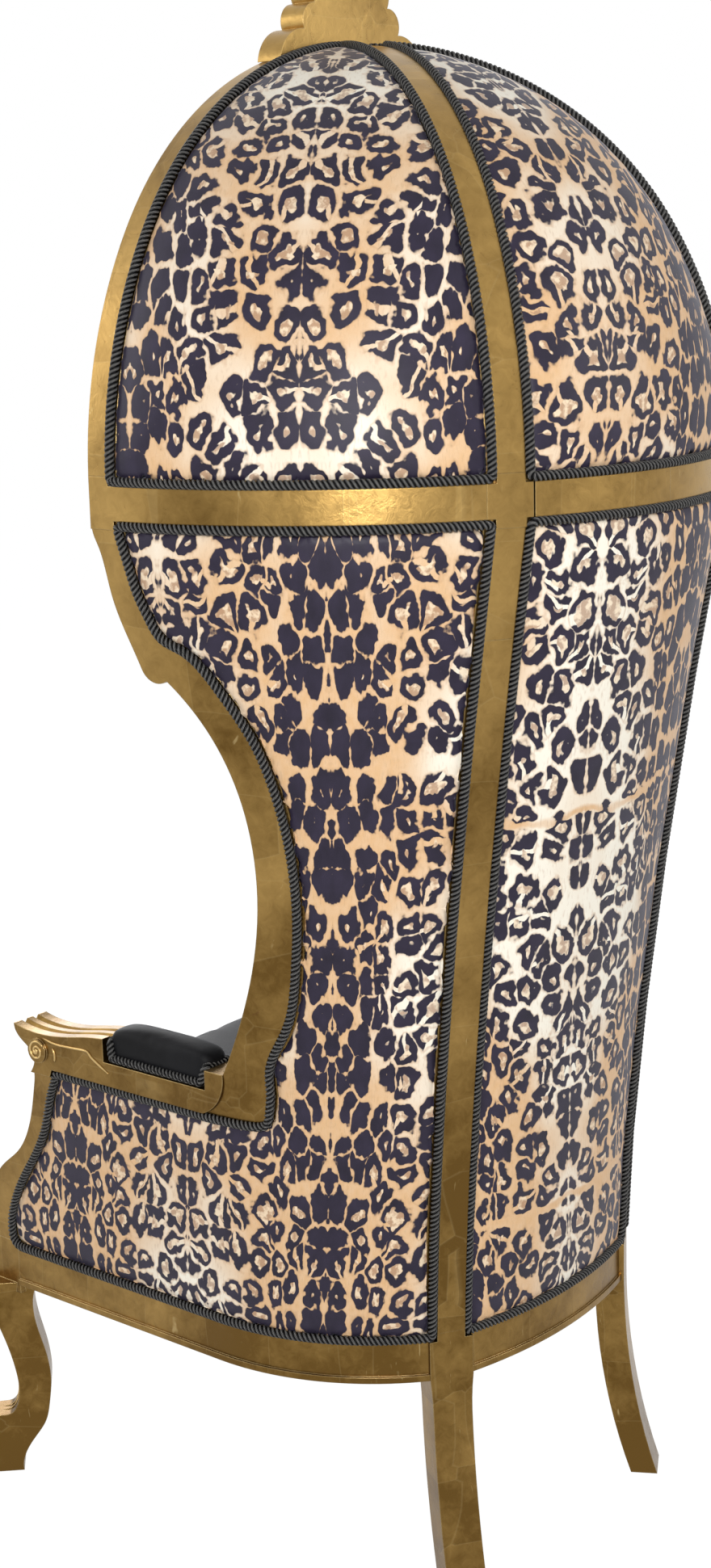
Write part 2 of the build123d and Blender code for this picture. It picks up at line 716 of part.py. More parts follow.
seat_frame = rail_ring()
with BuildPart() as seat_rail:
    add(seat_frame)
    add(side_zone(cord_band, along=rib_along), mode=Mode.INTERSECT)
    with BuildSketch(Plane.XY.offset(rail_bottom)):
        with Locations((0, -body_front + leg_block)):
            Rectangle(2 * far, 2 * far, align=(Align.MIN, Align.MIN))
    extrude(amount=rail_height, mode=Mode.INTERSECT)
    add(side_channel, mode=Mode.SUBTRACT)
save_pair(seat_rail.part, "seat_rail")

with BuildPart() as seat_rail_back:
    add(seat_frame)
    add(back_zone(cord_band, along=rib_along), mode=Mode.INTERSECT)
    add(back_channel, mode=Mode.SUBTRACT)
save(seat_rail_back.part, "seat_rail_back")

# Front rail: bowed in plan, with a shaped apron
front_rail_thickness = 28.0
front_rail_inset = 4.0  # of its ends, behind the leg blocks' faces
front_rail_bow = 14.0
apron_drop = 18.0
apron_shares = ((0, 0), (0.3, 0.1), (0.5, 0.55), (0.72, 0.3), (1, 1))
with BuildPart() as seat_rail_front:
    end_x = rail_half_width - leg_block
    end_y = -body_front + front_rail_inset
    with BuildSketch(Plane.XY.offset(rail_bottom - apron_drop)):
        with BuildLine():
            ThreePointArc((-end_x, end_y), (0, end_y - front_rail_bow), (end_x, end_y))
            Line((end_x, end_y), (end_x, end_y + front_rail_thickness))
            ThreePointArc(
                (-end_x, end_y + front_rail_thickness),
                (0, end_y + front_rail_thickness - front_rail_bow),
                (end_x, end_y + front_rail_thickness),
            )
            Line((-end_x, end_y), (-end_x, end_y + front_rail_thickness))
        make_face()
    extrude(amount=rail_height + apron_drop)
    with BuildSketch(Plane.XZ):
        with BuildLine():
            apron = place_on((end_x, rail_bottom), (-end_x, -apron_drop), apron_shares)
            Spline(*apron, tangents=((-1, 0), (-1, 0)))
            Polyline(apron[-1], (0, rail_top), (end_x, rail_top), apron[0])
        make_face()
        mirror(about=Plane.YZ)
    extrude(amount=far, both=True, mode=Mode.INTERSECT)
save(seat_rail_front.part, "seat_rail_front")

# Outside panels: board, padding and printed cover, fitted between the members
cover_set = 3.0  # how far a cover lies below the gilding
panel_depth = 15.0
panel_margin = cord_band + fit_gap
panel_front = body_block(cover_set)
panel_back = body_block(cover_set + panel_depth, banded=True)
hood_panel_front = hood_block(cover_set)
hood_panel_back = hood_shell(cover_set + panel_depth)


def panel(front_block, back_block, opening):
    """A padded panel between two depths of the body or the hood."""
    with BuildPart() as cover:
        add(front_block)
        add(back_block, mode=Mode.SUBTRACT)
        add(opening, mode=Mode.INTERSECT)
    return cover.part


save_pair(panel(panel_front, panel_back, side_opening(panel_margin)), "side_panel")
save(panel(panel_front, panel_back, back_opening(panel_margin)), "back_panel")
save_pair(panel(hood_panel_front, hood_panel_back, hood_side_opening(panel_margin)), "hood_side_panel")
save(panel(hood_panel_front, hood_panel_back, hood_back_opening(panel_margin)), "hood_back_panel")

# Twisted cord glued into the rebates, round each panel
cord_proud = 5.0
cord_top = body_block(-cord_proud)
cord_bed = body_block(rebate - fit_gap)
hood_cord_top = hood_block(-cord_proud)
hood_cord_bed = hood_block(rebate - fit_gap)


def edge_cord(top_block, bed_block, opening, inner_opening):
    """The cord round one panel."""
    with BuildPart() as edging:
        add(top_block)
        add(bed_block, mode=Mode.SUBTRACT)
        add(opening, mode=Mode.INTERSECT)
        add(inner_opening, mode=Mode.SUBTRACT)
    return edging.part


save_pair(edge_cord(cord_top, cord_bed, side_opening(fit_gap), side_margin), "side_cord")
save(edge_cord(cord_top, cord_bed, back_opening(fit_gap), back_opening(cord_band)), "back_cord")
save_pair(
    edge_cord(hood_cord_top, hood_cord_bed, hood_side_opening(fit_gap), hood_side_opening(cord_band)),
    "hood_side_cord",
)
save(
    edge_cord(hood_cord_top, hood_cord_bed, hood_back_opening(fit_gap), hood_back_opening(cord_band)),
    "hood_back_cord",
)

# Arm pads: a stuffed pad on the arm's seat, with its cord round the foot
pad_crown = 38.0
pad_corner = 20.0
pad_length = pad_back_y - pad_front_y - 2 * fit_gap
pad_x = arm_outer_x - arm_width / 2
pad_y = (pad_front_y + pad_back_y) / 2
pad_bottom = pad_seat_z + fit_gap
cord_size = 8.0
with BuildPart() as arm_pad_cord:
    with BuildSketch(Plane.XY.offset(pad_bottom)):
        with Locations((pad_x, pad_y)):
            RectangleRounded(arm_width, pad_length, pad_corner)
            RectangleRounded(
                arm_width - 2 * cord_size,
                pad_length - 2 * cord_size,
                pad_corner - cord_size,
                mode=Mode.SUBTRACT,
            )
    extrude(amount=cord_size)
save_pair(arm_pad_cord.part, "arm_pad_cord")

pad_edge = 9.0  # roll of its upper edge
with BuildPart() as arm_pad:
    pad_half = arm_width / 2 - cord_size - fit_gap
    with BuildSketch(Plane.XY.offset(pad_bottom)):
        with Locations((pad_x, pad_y)):
            RectangleRounded(2 * pad_half, pad_length - 2 * (cord_size + fit_gap), pad_corner - cord_size)
    extrude(amount=pad_crown)
    fillet(arm_pad.faces().sort_by(Axis.Z)[-1].edges(), pad_edge)
save_pair(arm_pad.part, "arm_pad")

# Inside: webbing on the seat frame, a sprung seat pad, buttoned linings and the hood's lining
web_thickness = 1.2
web_width = 50.0
web_count = 5
web_pitch_x = 60.0
web_pitch_y = 110.0
web_inset = frame_depth + fit_gap
web_layers_top = rail_top + 2 * web_thickness + fit_gap
with BuildPart() as seat_webbing:
    with BuildSketch(Plane.XY.offset(rail_top)):
        with Locations((0, -body_front / 4)):
            with GridLocations(0, web_pitch_y, 1, web_count):
                Rectangle(2 * far, web_width)
        add(body_plan(rail_top, 0, web_inset), mode=Mode.INTERSECT)
    extrude(amount=web_thickness)
    with BuildSketch(Plane.XY.offset(rail_top + web_thickness + fit_gap)):
        with GridLocations(web_pitch_x, 0, web_count - 1, 1):
            Rectangle(web_width, 2 * far)
        add(body_plan(rail_top, 0, web_inset, body_front - web_inset), mode=Mode.INTERSECT)
    extrude(amount=web_thickness)
save(seat_webbing.part, "seat_webbing")

lining_depth = 45.0
lining_outer = body_block(frame_depth + fit_gap, banded=True)
lining_inner = body_block(frame_depth + fit_gap + lining_depth, banded=True)
lining_bottom = web_layers_top + fit_gap
lining_top = belt_bottom
half_seam = fit_gap / 2 - post_face / 2

lining_wing_shares = (
    (-0.117, 1), (-0.051, 0.9), (0.044, 0.839), (0.204, 0.79), (0.423, 0.763), (0.569, 0.719),
    (0.715, 0.657), (0.825, 0.57), (0.876, 0.466), (0.861, 0.379), (0.781, 0.281), (0.664, 0.187),
    (0.496, 0.103), (0.35, 0.045), (0.263, 0),
)
lining_stump_shares = ((0.083, 1), (0.183, 0.855), (0.385, 0.655), (0.798, 0.373), (1.037, 0.193), (1.09, 0))
lining_arm_z = arm_margin_z - fit_gap
with BuildPart() as side_lining:
    add(side_zone(half_seam, lining_bottom, lining_top))
    add(lining_outer, mode=Mode.INTERSECT)
    add(lining_inner, mode=Mode.SUBTRACT)
    with BuildSketch(Plane.YZ):
        wing_spans = (curve_depth, flare_top - lining_arm_z)
        wing_edge = place_on((wing_gold_y, lining_arm_z), wing_spans, lining_wing_shares)
        stump_spans = (stump_foot_y - stump_top_y, lining_arm_z - rail_bottom)
        stump_edge = place_on((stump_top_y, rail_bottom), stump_spans, lining_stump_shares)
        Polygon((far, flare_top), *wing_edge, *stump_edge, (far, rail_bottom), align=None)
    extrude(amount=far, mode=Mode.INTERSECT)
save_pair(side_lining.part, "side_lining")

with BuildPart() as back_lining:
    add(back_zone(half_seam, lining_bottom, lining_top))
    add(lining_outer, mode=Mode.INTERSECT)
    add(lining_inner, mode=Mode.SUBTRACT)
save(back_lining.part, "back_lining")

hood_lining_depth = 30.0
hood_lining_inset = frame_depth + fit_gap
with BuildPart() as hood_lining:
    add(hood_shell(hood_lining_inset, lining_top + fit_gap))
    add(hood_shell(hood_lining_inset + hood_lining_depth, lining_top + fit_gap), mode=Mode.SUBTRACT)
    with BuildSketch(Plane.XY):
        with Locations((0, arch_setback + fit_gap)):
            Rectangle(2 * far, 2 * far, align=(Align.CENTER, Align.MIN))
    extrude(amount=hood_top, mode=Mode.INTERSECT)
    with BuildSketch(Plane.XY.offset(crown_underside - fit_gap)):
        Circle(crown_block_radius + fit_gap)
    extrude(amount=crown_block_depth + frame_depth, mode=Mode.SUBTRACT)
save(hood_lining.part, "hood_lining")

seat_height = 470.0
seat_front_set = 12.0
seat_edge = 30.0  # roll of its upper edge
seat_inset = frame_depth + lining_depth + 2 * fit_gap
with BuildPart() as seat_pad:
    add(body_plan(lining_bottom, 0, seat_inset, body_front - seat_front_set))
    extrude(amount=seat_height - lining_bottom)
    fillet(seat_pad.faces().sort_by(Axis.Z)[-1].edges(), seat_edge)
save(seat_pad.part, "seat_pad")

# Glue blocks in the seat frame's corners, and the dust cover tacked below
block_height = 40.0
block_rise = 6.0
block_leg = 66.0
block_depth = 28.0
block_width = 110.0
rail_inner_x = rail_half_width - rail_thickness
with BuildPart() as corner_blocks:
    with BuildSketch(Plane.XY.offset(rail_bottom + block_rise)):
        inner_x = rail_half_width - leg_block - fit_gap
        inner_y = -body_front + leg_block + fit_gap
        front_y = end_y + front_rail_thickness + fit_gap
        Polygon(
            (rail_inner_x - fit_gap, inner_y),
            (rail_inner_x - fit_gap, inner_y + block_leg),
            (inner_x - block_leg, front_y),
            (inner_x, front_y),
            (inner_x, inner_y),
            align=None,
        )
        mirror(about=Plane.YZ)
    extrude(amount=block_height)
    with BuildSketch(Plane.XY.offset(rail_bottom + block_rise)):
        seat = rail_post - rib_along * (frame_depth + fit_gap)
        ends = (seat + rib_across * block_width / 2, seat - rib_across * block_width / 2)
        backs = (ends[1] - rib_along * block_depth, ends[0] - rib_along * block_depth)
        Polygon(*[flat(point) for point in ends + backs], align=None)
        mirror(about=Plane.YZ)
        add(body_plan(rail_bottom, 0, rail_thickness + fit_gap), mode=Mode.INTERSECT)
    extrude(amount=block_height)
save(corner_blocks.part, "corner_blocks")

dust_thickness = 1.2
dust_inset = 14.0
with BuildPart() as dust_cover:
    dust_plane = rail_bottom - fit_gap - dust_thickness
    add(extrude(body_plan(dust_plane, 0, dust_inset, body_front - dust_inset), amount=dust_thickness))
    with BuildSketch(Plane.XY.offset(dust_plane)):
        with Locations((leg_x, leg_y), (-leg_x, leg_y)):
            Rectangle(2 * leg_block, 2 * leg_block)
    extrude(amount=dust_thickness, mode=Mode.SUBTRACT)
    with BuildSketch(Plane.XY.offset(dust_plane)):
        with BuildLine():
            heel = rail_post - rib_along * (frame_depth + dust_inset)
            toe = rail_post + rib_along * far
            side_step = rib_across * (post_width / 2 + fit_gap)
            corners = (heel + side_step, toe + side_step, toe - side_step, heel - side_step)
            Polyline(*[flat(corner) for corner in corners], close=True)
        make_face()
        mirror(about=Plane.YZ)
    extrude(amount=dust_thickness, mode=Mode.SUBTRACT)
save(dust_cover.part, "dust_cover")
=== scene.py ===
from math import atan2, cos, exp, hypot, pi, radians, sin, sqrt

import bmesh
import bpy
from mathutils import Matrix, Vector, kdtree
from mathutils.bvhtree import BVHTree


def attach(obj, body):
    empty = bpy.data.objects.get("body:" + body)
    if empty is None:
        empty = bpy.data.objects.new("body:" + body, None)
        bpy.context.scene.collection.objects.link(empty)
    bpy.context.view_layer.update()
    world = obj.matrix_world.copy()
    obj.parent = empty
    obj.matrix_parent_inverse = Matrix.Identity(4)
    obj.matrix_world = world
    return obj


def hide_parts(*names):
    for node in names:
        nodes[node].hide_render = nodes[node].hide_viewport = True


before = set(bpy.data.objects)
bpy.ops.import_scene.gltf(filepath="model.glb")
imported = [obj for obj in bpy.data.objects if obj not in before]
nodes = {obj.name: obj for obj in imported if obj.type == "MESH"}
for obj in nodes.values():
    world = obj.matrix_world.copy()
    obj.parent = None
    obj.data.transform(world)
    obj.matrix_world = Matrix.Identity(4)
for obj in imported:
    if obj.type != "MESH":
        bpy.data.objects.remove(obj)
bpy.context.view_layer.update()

bpy.context.scene.view_settings.view_transform = "Standard"

# Studio: the chair stands on a plain pale floor in front of white, turned so that its left rear post
# faces the camera. The camera stands at head height, close enough that the chair overfills the frame.
camera_place = Vector((2.01654, 1.66426, 1.43498))
camera_turn = radians(129.992)
camera_tilt = radians(12.792)
camera_roll = radians(-1.527)
camera_lens = 54.40
floor_reach = 12.0
floor_white = 0.86  # share of the floor that the camera sees as plain white


def placed(name, data):
    """A new object in the scene."""
    thing = bpy.data.objects.new(name, data)
    bpy.context.scene.collection.objects.link(thing)
    return thing


flat_reach = cos(camera_tilt)
back = Vector((sin(camera_turn) * flat_reach, -cos(camera_turn) * flat_reach, sin(camera_tilt)))
level = Vector((cos(camera_turn), sin(camera_turn), 0))
upright = back.cross(level)
across = level * cos(camera_roll) + upright * sin(camera_roll)
upward = upright * cos(camera_roll) - level * sin(camera_roll)
camera_data = bpy.data.cameras.new("camera")
camera_data.lens = camera_lens
camera_data.sensor_width = 36.0
camera_data.clip_end = 50.0
camera = placed("camera", camera_data)
aim = Matrix((across, upward, back)).transposed().to_4x4()
camera.matrix_world = Matrix.Translation(camera_place) @ aim
bpy.context.scene.camera = camera


def add_lamp(name, place, target, size, power):
    """A soft square lamp aimed at a point."""
    data = bpy.data.lights.new(name, "AREA")
    data.size = size
    data.energy = power
    lamp = placed(name, data)
    lamp.location = place
    lamp.rotation_euler = (Vector(target) - Vector(place)).to_track_quat("-Z", "Y").to_euler()


add_lamp("key_lamp", (2.30, 1.80, 1.75), (0.1, 0.1, 1.15), 0.55, 56)
add_lamp("left_lamp", (1.6, -2.6, 2.1), (0.0, 0.0, 0.9), 1.6, 26)
add_lamp("right_lamp", (-1.4, 3.0, 2.3), (0.0, 0.1, 1.0), 1.6, 30)
add_lamp("front_lamp", (-1.6, -2.9, 1.9), (0.0, 0.0, 0.9), 1.6, 40)


def add_node(kind, inputs=None, **settings):
    """A node in the tree being built, its inputs set to values or linked from sockets."""
    node = tree.nodes.new("ShaderNode" + kind)
    for name, value in settings.items():
        setattr(node, name, value)
    for name, value in (inputs or {}).items():
        socket = node.inputs[name]
        if isinstance(value, bpy.types.NodeSocket):
            tree.links.new(value, socket)
        else:
            socket.default_value = value
    return node


def new_material(name):
    """An empty node material, whose tree the other helpers then fill."""
    global tree
    material = bpy.data.materials.new(name)
    material.use_nodes = True
    tree = material.node_tree
    tree.nodes.clear()
    return material


def maths(operation, *values, clamp=False):
    """One step of arithmetic on sockets or numbers."""
    inputs = dict(enumerate(values))
    return add_node("Math", inputs, operation=operation, use_clamp=clamp).outputs[0]


def plus(total, *others):
    """Their sum."""
    for other in others:
        total = maths("ADD", total, other)
    return total


def minus(first, second, clamp=False):
    """Their difference."""
    return maths("SUBTRACT", first, second, clamp=clamp)


def times(first, second):
    """Their product."""
    return maths("MULTIPLY", first, second)


def mix(factor, first, second, blend="MIX"):
    """One colour mixed over another."""
    inputs = {"Factor": factor, 6: first, 7: second}
    return add_node("Mix", inputs, data_type="RGBA", blend_type=blend).outputs[2]


def seen_white():
    """1 for rays that should see the white studio: from the camera, off gloss and through glass."""
    rays = add_node("LightPath").outputs
    direct = maths("MAXIMUM", rays["Is Camera Ray"], rays["Is Glossy Ray"])
    return maths("MAXIMUM", direct, rays["Is Transmission Ray"])


world = bpy.data.worlds.new("studio")
bpy.context.scene.world = world
world.use_nodes = True
tree = world.node_tree
tree.nodes.clear()
sky = mix(seen_white(), (0.30, 0.305, 0.315, 1), (1, 1, 1, 1))
glow = add_node("Background", {"Color": sky, "Strength": 1.0})
add_node("OutputWorld", {"Surface": glow.outputs[0]})

floor_data = bpy.data.meshes.new("floor")
corners = [(x * floor_reach, y * floor_reach, 0) for x, y in ((-1, -1), (1, -1), (1, 1), (-1, 1))]
floor_data.from_pydata(corners, [], [(0, 1, 2, 3)])
floor_data.materials.append(new_material("floor_white"))
matt = add_node("BsdfDiffuse", {"Color": (0.86, 0.86, 0.86, 1)})
bright = add_node("Emission", {"Color": (1, 1, 1, 1), "Strength": 1.12})
share = times(seen_white(), floor_white)
mixed = add_node("MixShader", {"Fac": share, 1: matt.outputs[0], 2: bright.outputs[0]})
add_node("OutputMaterial", {"Surface": mixed.outputs[0]})
floor_piece = placed("floor", floor_data)

# Gilded frame: legs, rails, posts, belt, arch, ribs, arms and crest are sawn beech, coated with gesso
# and red bole and laid with loose gold leaf in small squares, whose lapped seams and rubs show.
leaf_size = 0.085
# Painted shade: the leaf is painted darker towards the floor and lighter higher up.
leaf_painted_shade = 0.24  # how much the leaf deepens towards the floor, per metre
leaf_light = (0.42, 0.265, 0.085, 1)
leaf_deep = (0.130, 0.072, 0.018, 1)
leaf_worn = (0.115, 0.050, 0.018, 1)
leaf_pale = (0.70, 0.55, 0.27, 1)


def ramp(factor, *stops):
    """A colour ramp through (position, colour) stops."""
    node = add_node("ValToRGB", {"Fac": factor})
    elements = node.color_ramp.elements
    while len(elements) < len(stops):
        elements.new(0.5)
    for element, (position, colour) in zip(elements, stops):
        element.position = position
        element.color = colour if hasattr(colour, "__len__") else (colour, colour, colour, 1)
    return node.outputs["Color"]


def speckle(place, scale, detail=3.0, roughness=0.5, distortion=0.0, give="Fac"):
    """Plain noise at a scale, as one value or as a colour."""
    inputs = {"Vector": place, "Scale": scale, "Detail": detail, "Roughness": roughness,
              "Distortion": distortion}
    return add_node("TexNoise", inputs).outputs[give]


def stretched(place, scale, turn=(0, 0, 0)):
    """Places turned and scaled each way, so that what is drawn there runs one way."""
    return add_node("Mapping", {"Vector": place, "Rotation": turn, "Scale": scale}).outputs[0]


def dot(first, second):
    """How far one vector runs along another."""
    return add_node("VectorMath", {0: first, 1: second}, operation="DOT_PRODUCT").outputs["Value"]


def on_object():
    """Places measured in the chair's own frame."""
    return add_node("TexCoord").outputs["Object"]


def finished(material, colour, roughness, height, strength, distance, normal=None, gloss=None):
    """Close a material: a bump from a height, the surface shader and its output."""
    inputs = {"Height": height, "Strength": strength, "Distance": distance}
    if normal:
        inputs["Normal"] = normal
    inputs = {"Base Color": colour, "Roughness": roughness, "Normal": add_node("Bump", inputs).outputs[0]}
    shader = add_node("BsdfPrincipled", {**inputs, **(gloss or {})})
    add_node("OutputMaterial", {"Surface": shader.outputs[0]})
    return material


def gold_leaf(name, light, deep):
    """Loose gold leaf over gesso: lapped squares, brushed grain, fine scratches, rubbed edges, and
    painted shade that darkens it towards the floor and lightens it higher up.
    """
    material = new_material(name)
    place = on_object()
    drift = speckle(place, 7.0, 1.0, give="Color")
    strayed = mix(0.012, place, drift, "LINEAR_LIGHT")
    squares = {"Vector": strayed, "Scale": 1 / leaf_size, "Randomness": 0.35}
    leaf, next_leaf = [
        add_node("TexVoronoi", squares, feature=feature, distance="CHEBYCHEV").outputs
        for feature in ("F1", "F2")]
    lap = ramp(minus(next_leaf["Distance"], leaf["Distance"]), (0.0, 1.0), (0.02, 0.0))
    tone = add_node("SeparateColor", {"Color": leaf["Color"]}).outputs[0]
    cloud = speckle(place, 6.0, 4.0, 0.6)
    grain = speckle(place, 70.0, 5.0, 0.7, 0.8)
    rub = speckle(place, 30.0, 6.0, 0.72, 1.4)
    long_way = stretched(place, (260.0, 26.0, 26.0), (0.9, 0.5, 0.3))
    scratch = ramp(speckle(long_way, 1.0, 3.0, 0.6), (0.70, 0.0), (0.76, 1.0))
    above = add_node("SeparateXYZ", {"Vector": place}).outputs[2]
    # Painted shade: the leaf is painted darker towards the floor and lighter above about 0.95 m.
    painted_floor_shade = maths("MULTIPLY_ADD", above, leaf_painted_shade, -leaf_painted_shade * 0.95)
    depth = plus(times(cloud, 0.95), times(tone, 0.12), times(grain, 0.30), painted_floor_shade)
    colour = mix(ramp(depth, (0.46, 0.0), (0.92, 1.0)), deep, light)
    colour = mix(times(lap, 0.07), colour, leaf_pale)
    colour = mix(times(scratch, 0.30), colour, leaf_pale)
    flecks = ramp(rub, (0.66, 0.0), (0.72, 1.0))
    colour = mix(times(flecks, 0.6), colour, leaf_worn)
    eased = add_node("Bevel", {"Radius": 0.0016}, samples=4).outputs[0]
    facing = add_node("NewGeometry").outputs["Normal"]
    edge = ramp(dot(eased, facing), (0.90, 1.0), (0.985, 0.0))
    worn_edge = times(edge, ramp(rub, (0.40, 0.0), (0.60, 0.8)))
    colour = mix(times(edge, 0.35), colour, leaf_pale)
    colour = mix(times(worn_edge, 0.45), colour, leaf_worn)
    wear = plus(times(grain, 0.6), times(flecks, 0.3))
    rough = ramp(wear, (0.2, 0.27), (0.75, 0.50))
    height = plus(times(grain, 0.6), times(cloud, 1.4), times(lap, 0.06))
    return finished(material, colour, rough, height, 0.28, 0.0020, eased, {"Metallic": 1.0})


gilt = gold_leaf("gold_leaf", leaf_light, leaf_deep)
gilded = ("rear_post", "post_head", "belt_side", "belt_back", "dome_rib", "arch", "crest",
          "wing_rail", "arm_rail", "arm_stump", "front_leg", "seat_rail")


def dress(node, material):
    """Give a CAD node's faces one material."""
    slots = nodes[node].material_slots
    for place in slots:
        place.material = material
    if not slots:
        nodes[node].data.materials.append(material)


for name in nodes:
    if name.startswith(gilded):
        dress(name, gilt)

# Outside covers: leopard printed velvet, stretched over wadding on each panel of the body and hood,
# so that it swells a little between the cords. The print is mirrored about the pale spines and the dark
# columns that run up each panel. The body flares from the seat rails to the belt, and the hood rises from
# it in a shoulder arc and a crown arc.
rail_half = 0.285
hood_radius = 0.392
post_foot = Vector((0.168, 0.227))
post_lean = Vector((0.028, 0.1125))
rail_bow = 0.027
belt_bow = 0.0525
flare_foot = 0.292
flare_height = 0.887
flare_power = 1.45
spring_height = 1.213
shoulder_radius = 0.473
shoulder_set = 0.081
crown_radius = 0.3787
crown_height = 1.2613
shoulder_turn = atan2(crown_height - spring_height, shoulder_set)
cover_voxel = 0.0045
cover_swell = 0.0056
cover_edge = 0.0012
cover_ease = 0.028
cover_push = 0.0060  # how far a cover's rim is drawn towards its cord
cover_reach = 0.017  # how wide that rim is
cover_depth = 0.012  # how far down its edge a cover still swells
weld_reach = 0.00005
edge_step = 0.006
mirror_pitch = 0.174  # from a pale spine of the print to its dark column
band_pitch = 0.230
ground_pale = (0.93, 0.87, 0.74, 1)
ground_tan = (0.70, 0.41, 0.18, 1)
side_lean = 0.118  # how far the print's columns lean with the flare
side_lean_foot = 0.35
side_shift = 0.042
back_lean = 0.125
back_lean_foot = 0.42
back_shift = 0.005
hood_back_lean = 0.2
hood_back_shift = 0.105
hood_back_start = 2.0
hood_middle = radians(30.5)


def body_at(height):
    """Half width, post place and back bow of the flaring body at a height."""
    share = min(max((height - flare_foot) / flare_height, 0.0), 1.0) ** flare_power
    half = rail_half + (hood_radius - rail_half) * share
    return half, post_foot + post_lean * share, rail_bow + (belt_bow - rail_bow) * share


def side_measure(point):
    """Run along the body's side from its widest line, and stand off its gilded face."""
    half, post, bow = body_at(point.z)
    reach = abs(point.x)
    if point.y <= 0:
        return point.y, reach - half
    radius = ((half - post.x) ** 2 + post.y**2) / (2 * (half - post.x))
    centre = half - radius
    return radius * atan2(point.y, reach - centre), hypot(reach - centre, point.y) - radius


def back_measure(point):
    """Run across the body's back from its middle, and stand off its gilded face."""
    half, post, bow = body_at(point.z)
    radius = (post.x**2 + bow**2) / (2 * bow)
    centre = post.y + bow - radius
    return radius * atan2(point.x, point.y - centre), hypot(point.x, point.y - centre) - radius


def hood_measure(point):
    """Rise along the hood's outline from its foot, and stand off its face."""
    reach = hypot(point.x, point.y)
    turn = atan2(point.z - crown_height, reach)
    if turn > shoulder_turn:
        rise = shoulder_radius * shoulder_turn + crown_radius * (turn - shoulder_turn)
        return rise, hypot(reach, point.z - crown_height) - crown_radius
    turn = atan2(point.z - spring_height, reach + shoulder_set)
    return shoulder_radius * turn, hypot(reach + shoulder_set, point.z - spring_height) - shoulder_radius


def remeshed(name, source, voxel, smooth_steps=3):
    """A copy of a mesh as even quads, smoothed."""
    piece = placed(name, source.data.copy())
    weld = piece.modifiers.new("weld", "WELD")
    weld.merge_threshold = weld_reach
    even = piece.modifiers.new("even", "REMESH")
    even.mode = "VOXEL"
    even.voxel_size = voxel
    smooth = piece.modifiers.new("smooth", "SMOOTH")
    smooth.factor = 0.5
    smooth.iterations = smooth_steps
    bake(piece)
    return piece


def bake(piece):
    """Apply a piece's modifiers."""
    graph = bpy.context.evaluated_depsgraph_get()
    mesh = bpy.data.meshes.new_from_object(piece.evaluated_get(graph), depsgraph=graph)
    piece.modifiers.clear()
    piece.data = mesh
    mesh.materials.clear()
    mesh.shade_smooth()


def mesh_piece(name, shape):
    """A finished object from a mesh in the making."""
    mesh = bpy.data.meshes.new(name)
    shape.to_mesh(mesh)
    shape.free()
    mesh.shade_smooth()
    return placed(name, mesh)


def dressed(piece, material, slot, *replaced):
    """Give a made piece its material and its body, and hide the CAD nodes that it stands for. The slot is
    not used.
    """
    piece.data.materials.append(material)
    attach(piece, "root")
    if replaced:
        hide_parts(*replaced)


def with_normals(piece):
    """Each vertex of a piece with its normal before any move."""
    vertices = piece.data.vertices
    return list(zip(vertices, [vertex.normal.copy() for vertex in vertices]))


def edge_points(node):
    """Points along every edge of a CAD node, for measuring how near it lies."""
    mesh = nodes[node].data
    points = []
    for edge in mesh.edges:
        first, last = (mesh.vertices[index].co for index in edge.vertices)
        count = max(int((last - first).length / edge_step), 1)
        points += [first.lerp(last, index / count) for index in range(count)]
    return points


def tree_of(points):
    """A search tree over points."""
    found = kdtree.KDTree(len(points))
    for index, point in enumerate(points):
        found.insert(point, index)
    found.balance()
    return found


def print_places(piece, place_of):
    """Lay the print on a cover: each corner gets its place on the flat cloth, in metres."""
    layer = piece.data.uv_layers.new(name="print")
    flat = [place_of(vertex.co) for vertex in piece.data.vertices]
    for loop in piece.data.loops:
        layer.data[loop.index].uv = flat[loop.vertex_index]


def between(value, low, high):
    """0 below the low value, 1 above the high one, with a soft step."""
    inputs = {"Value": value, "From Min": low, "From Max": high}
    return add_node("MapRange", inputs, interpolation_type="SMOOTHSTEP").outputs[0]


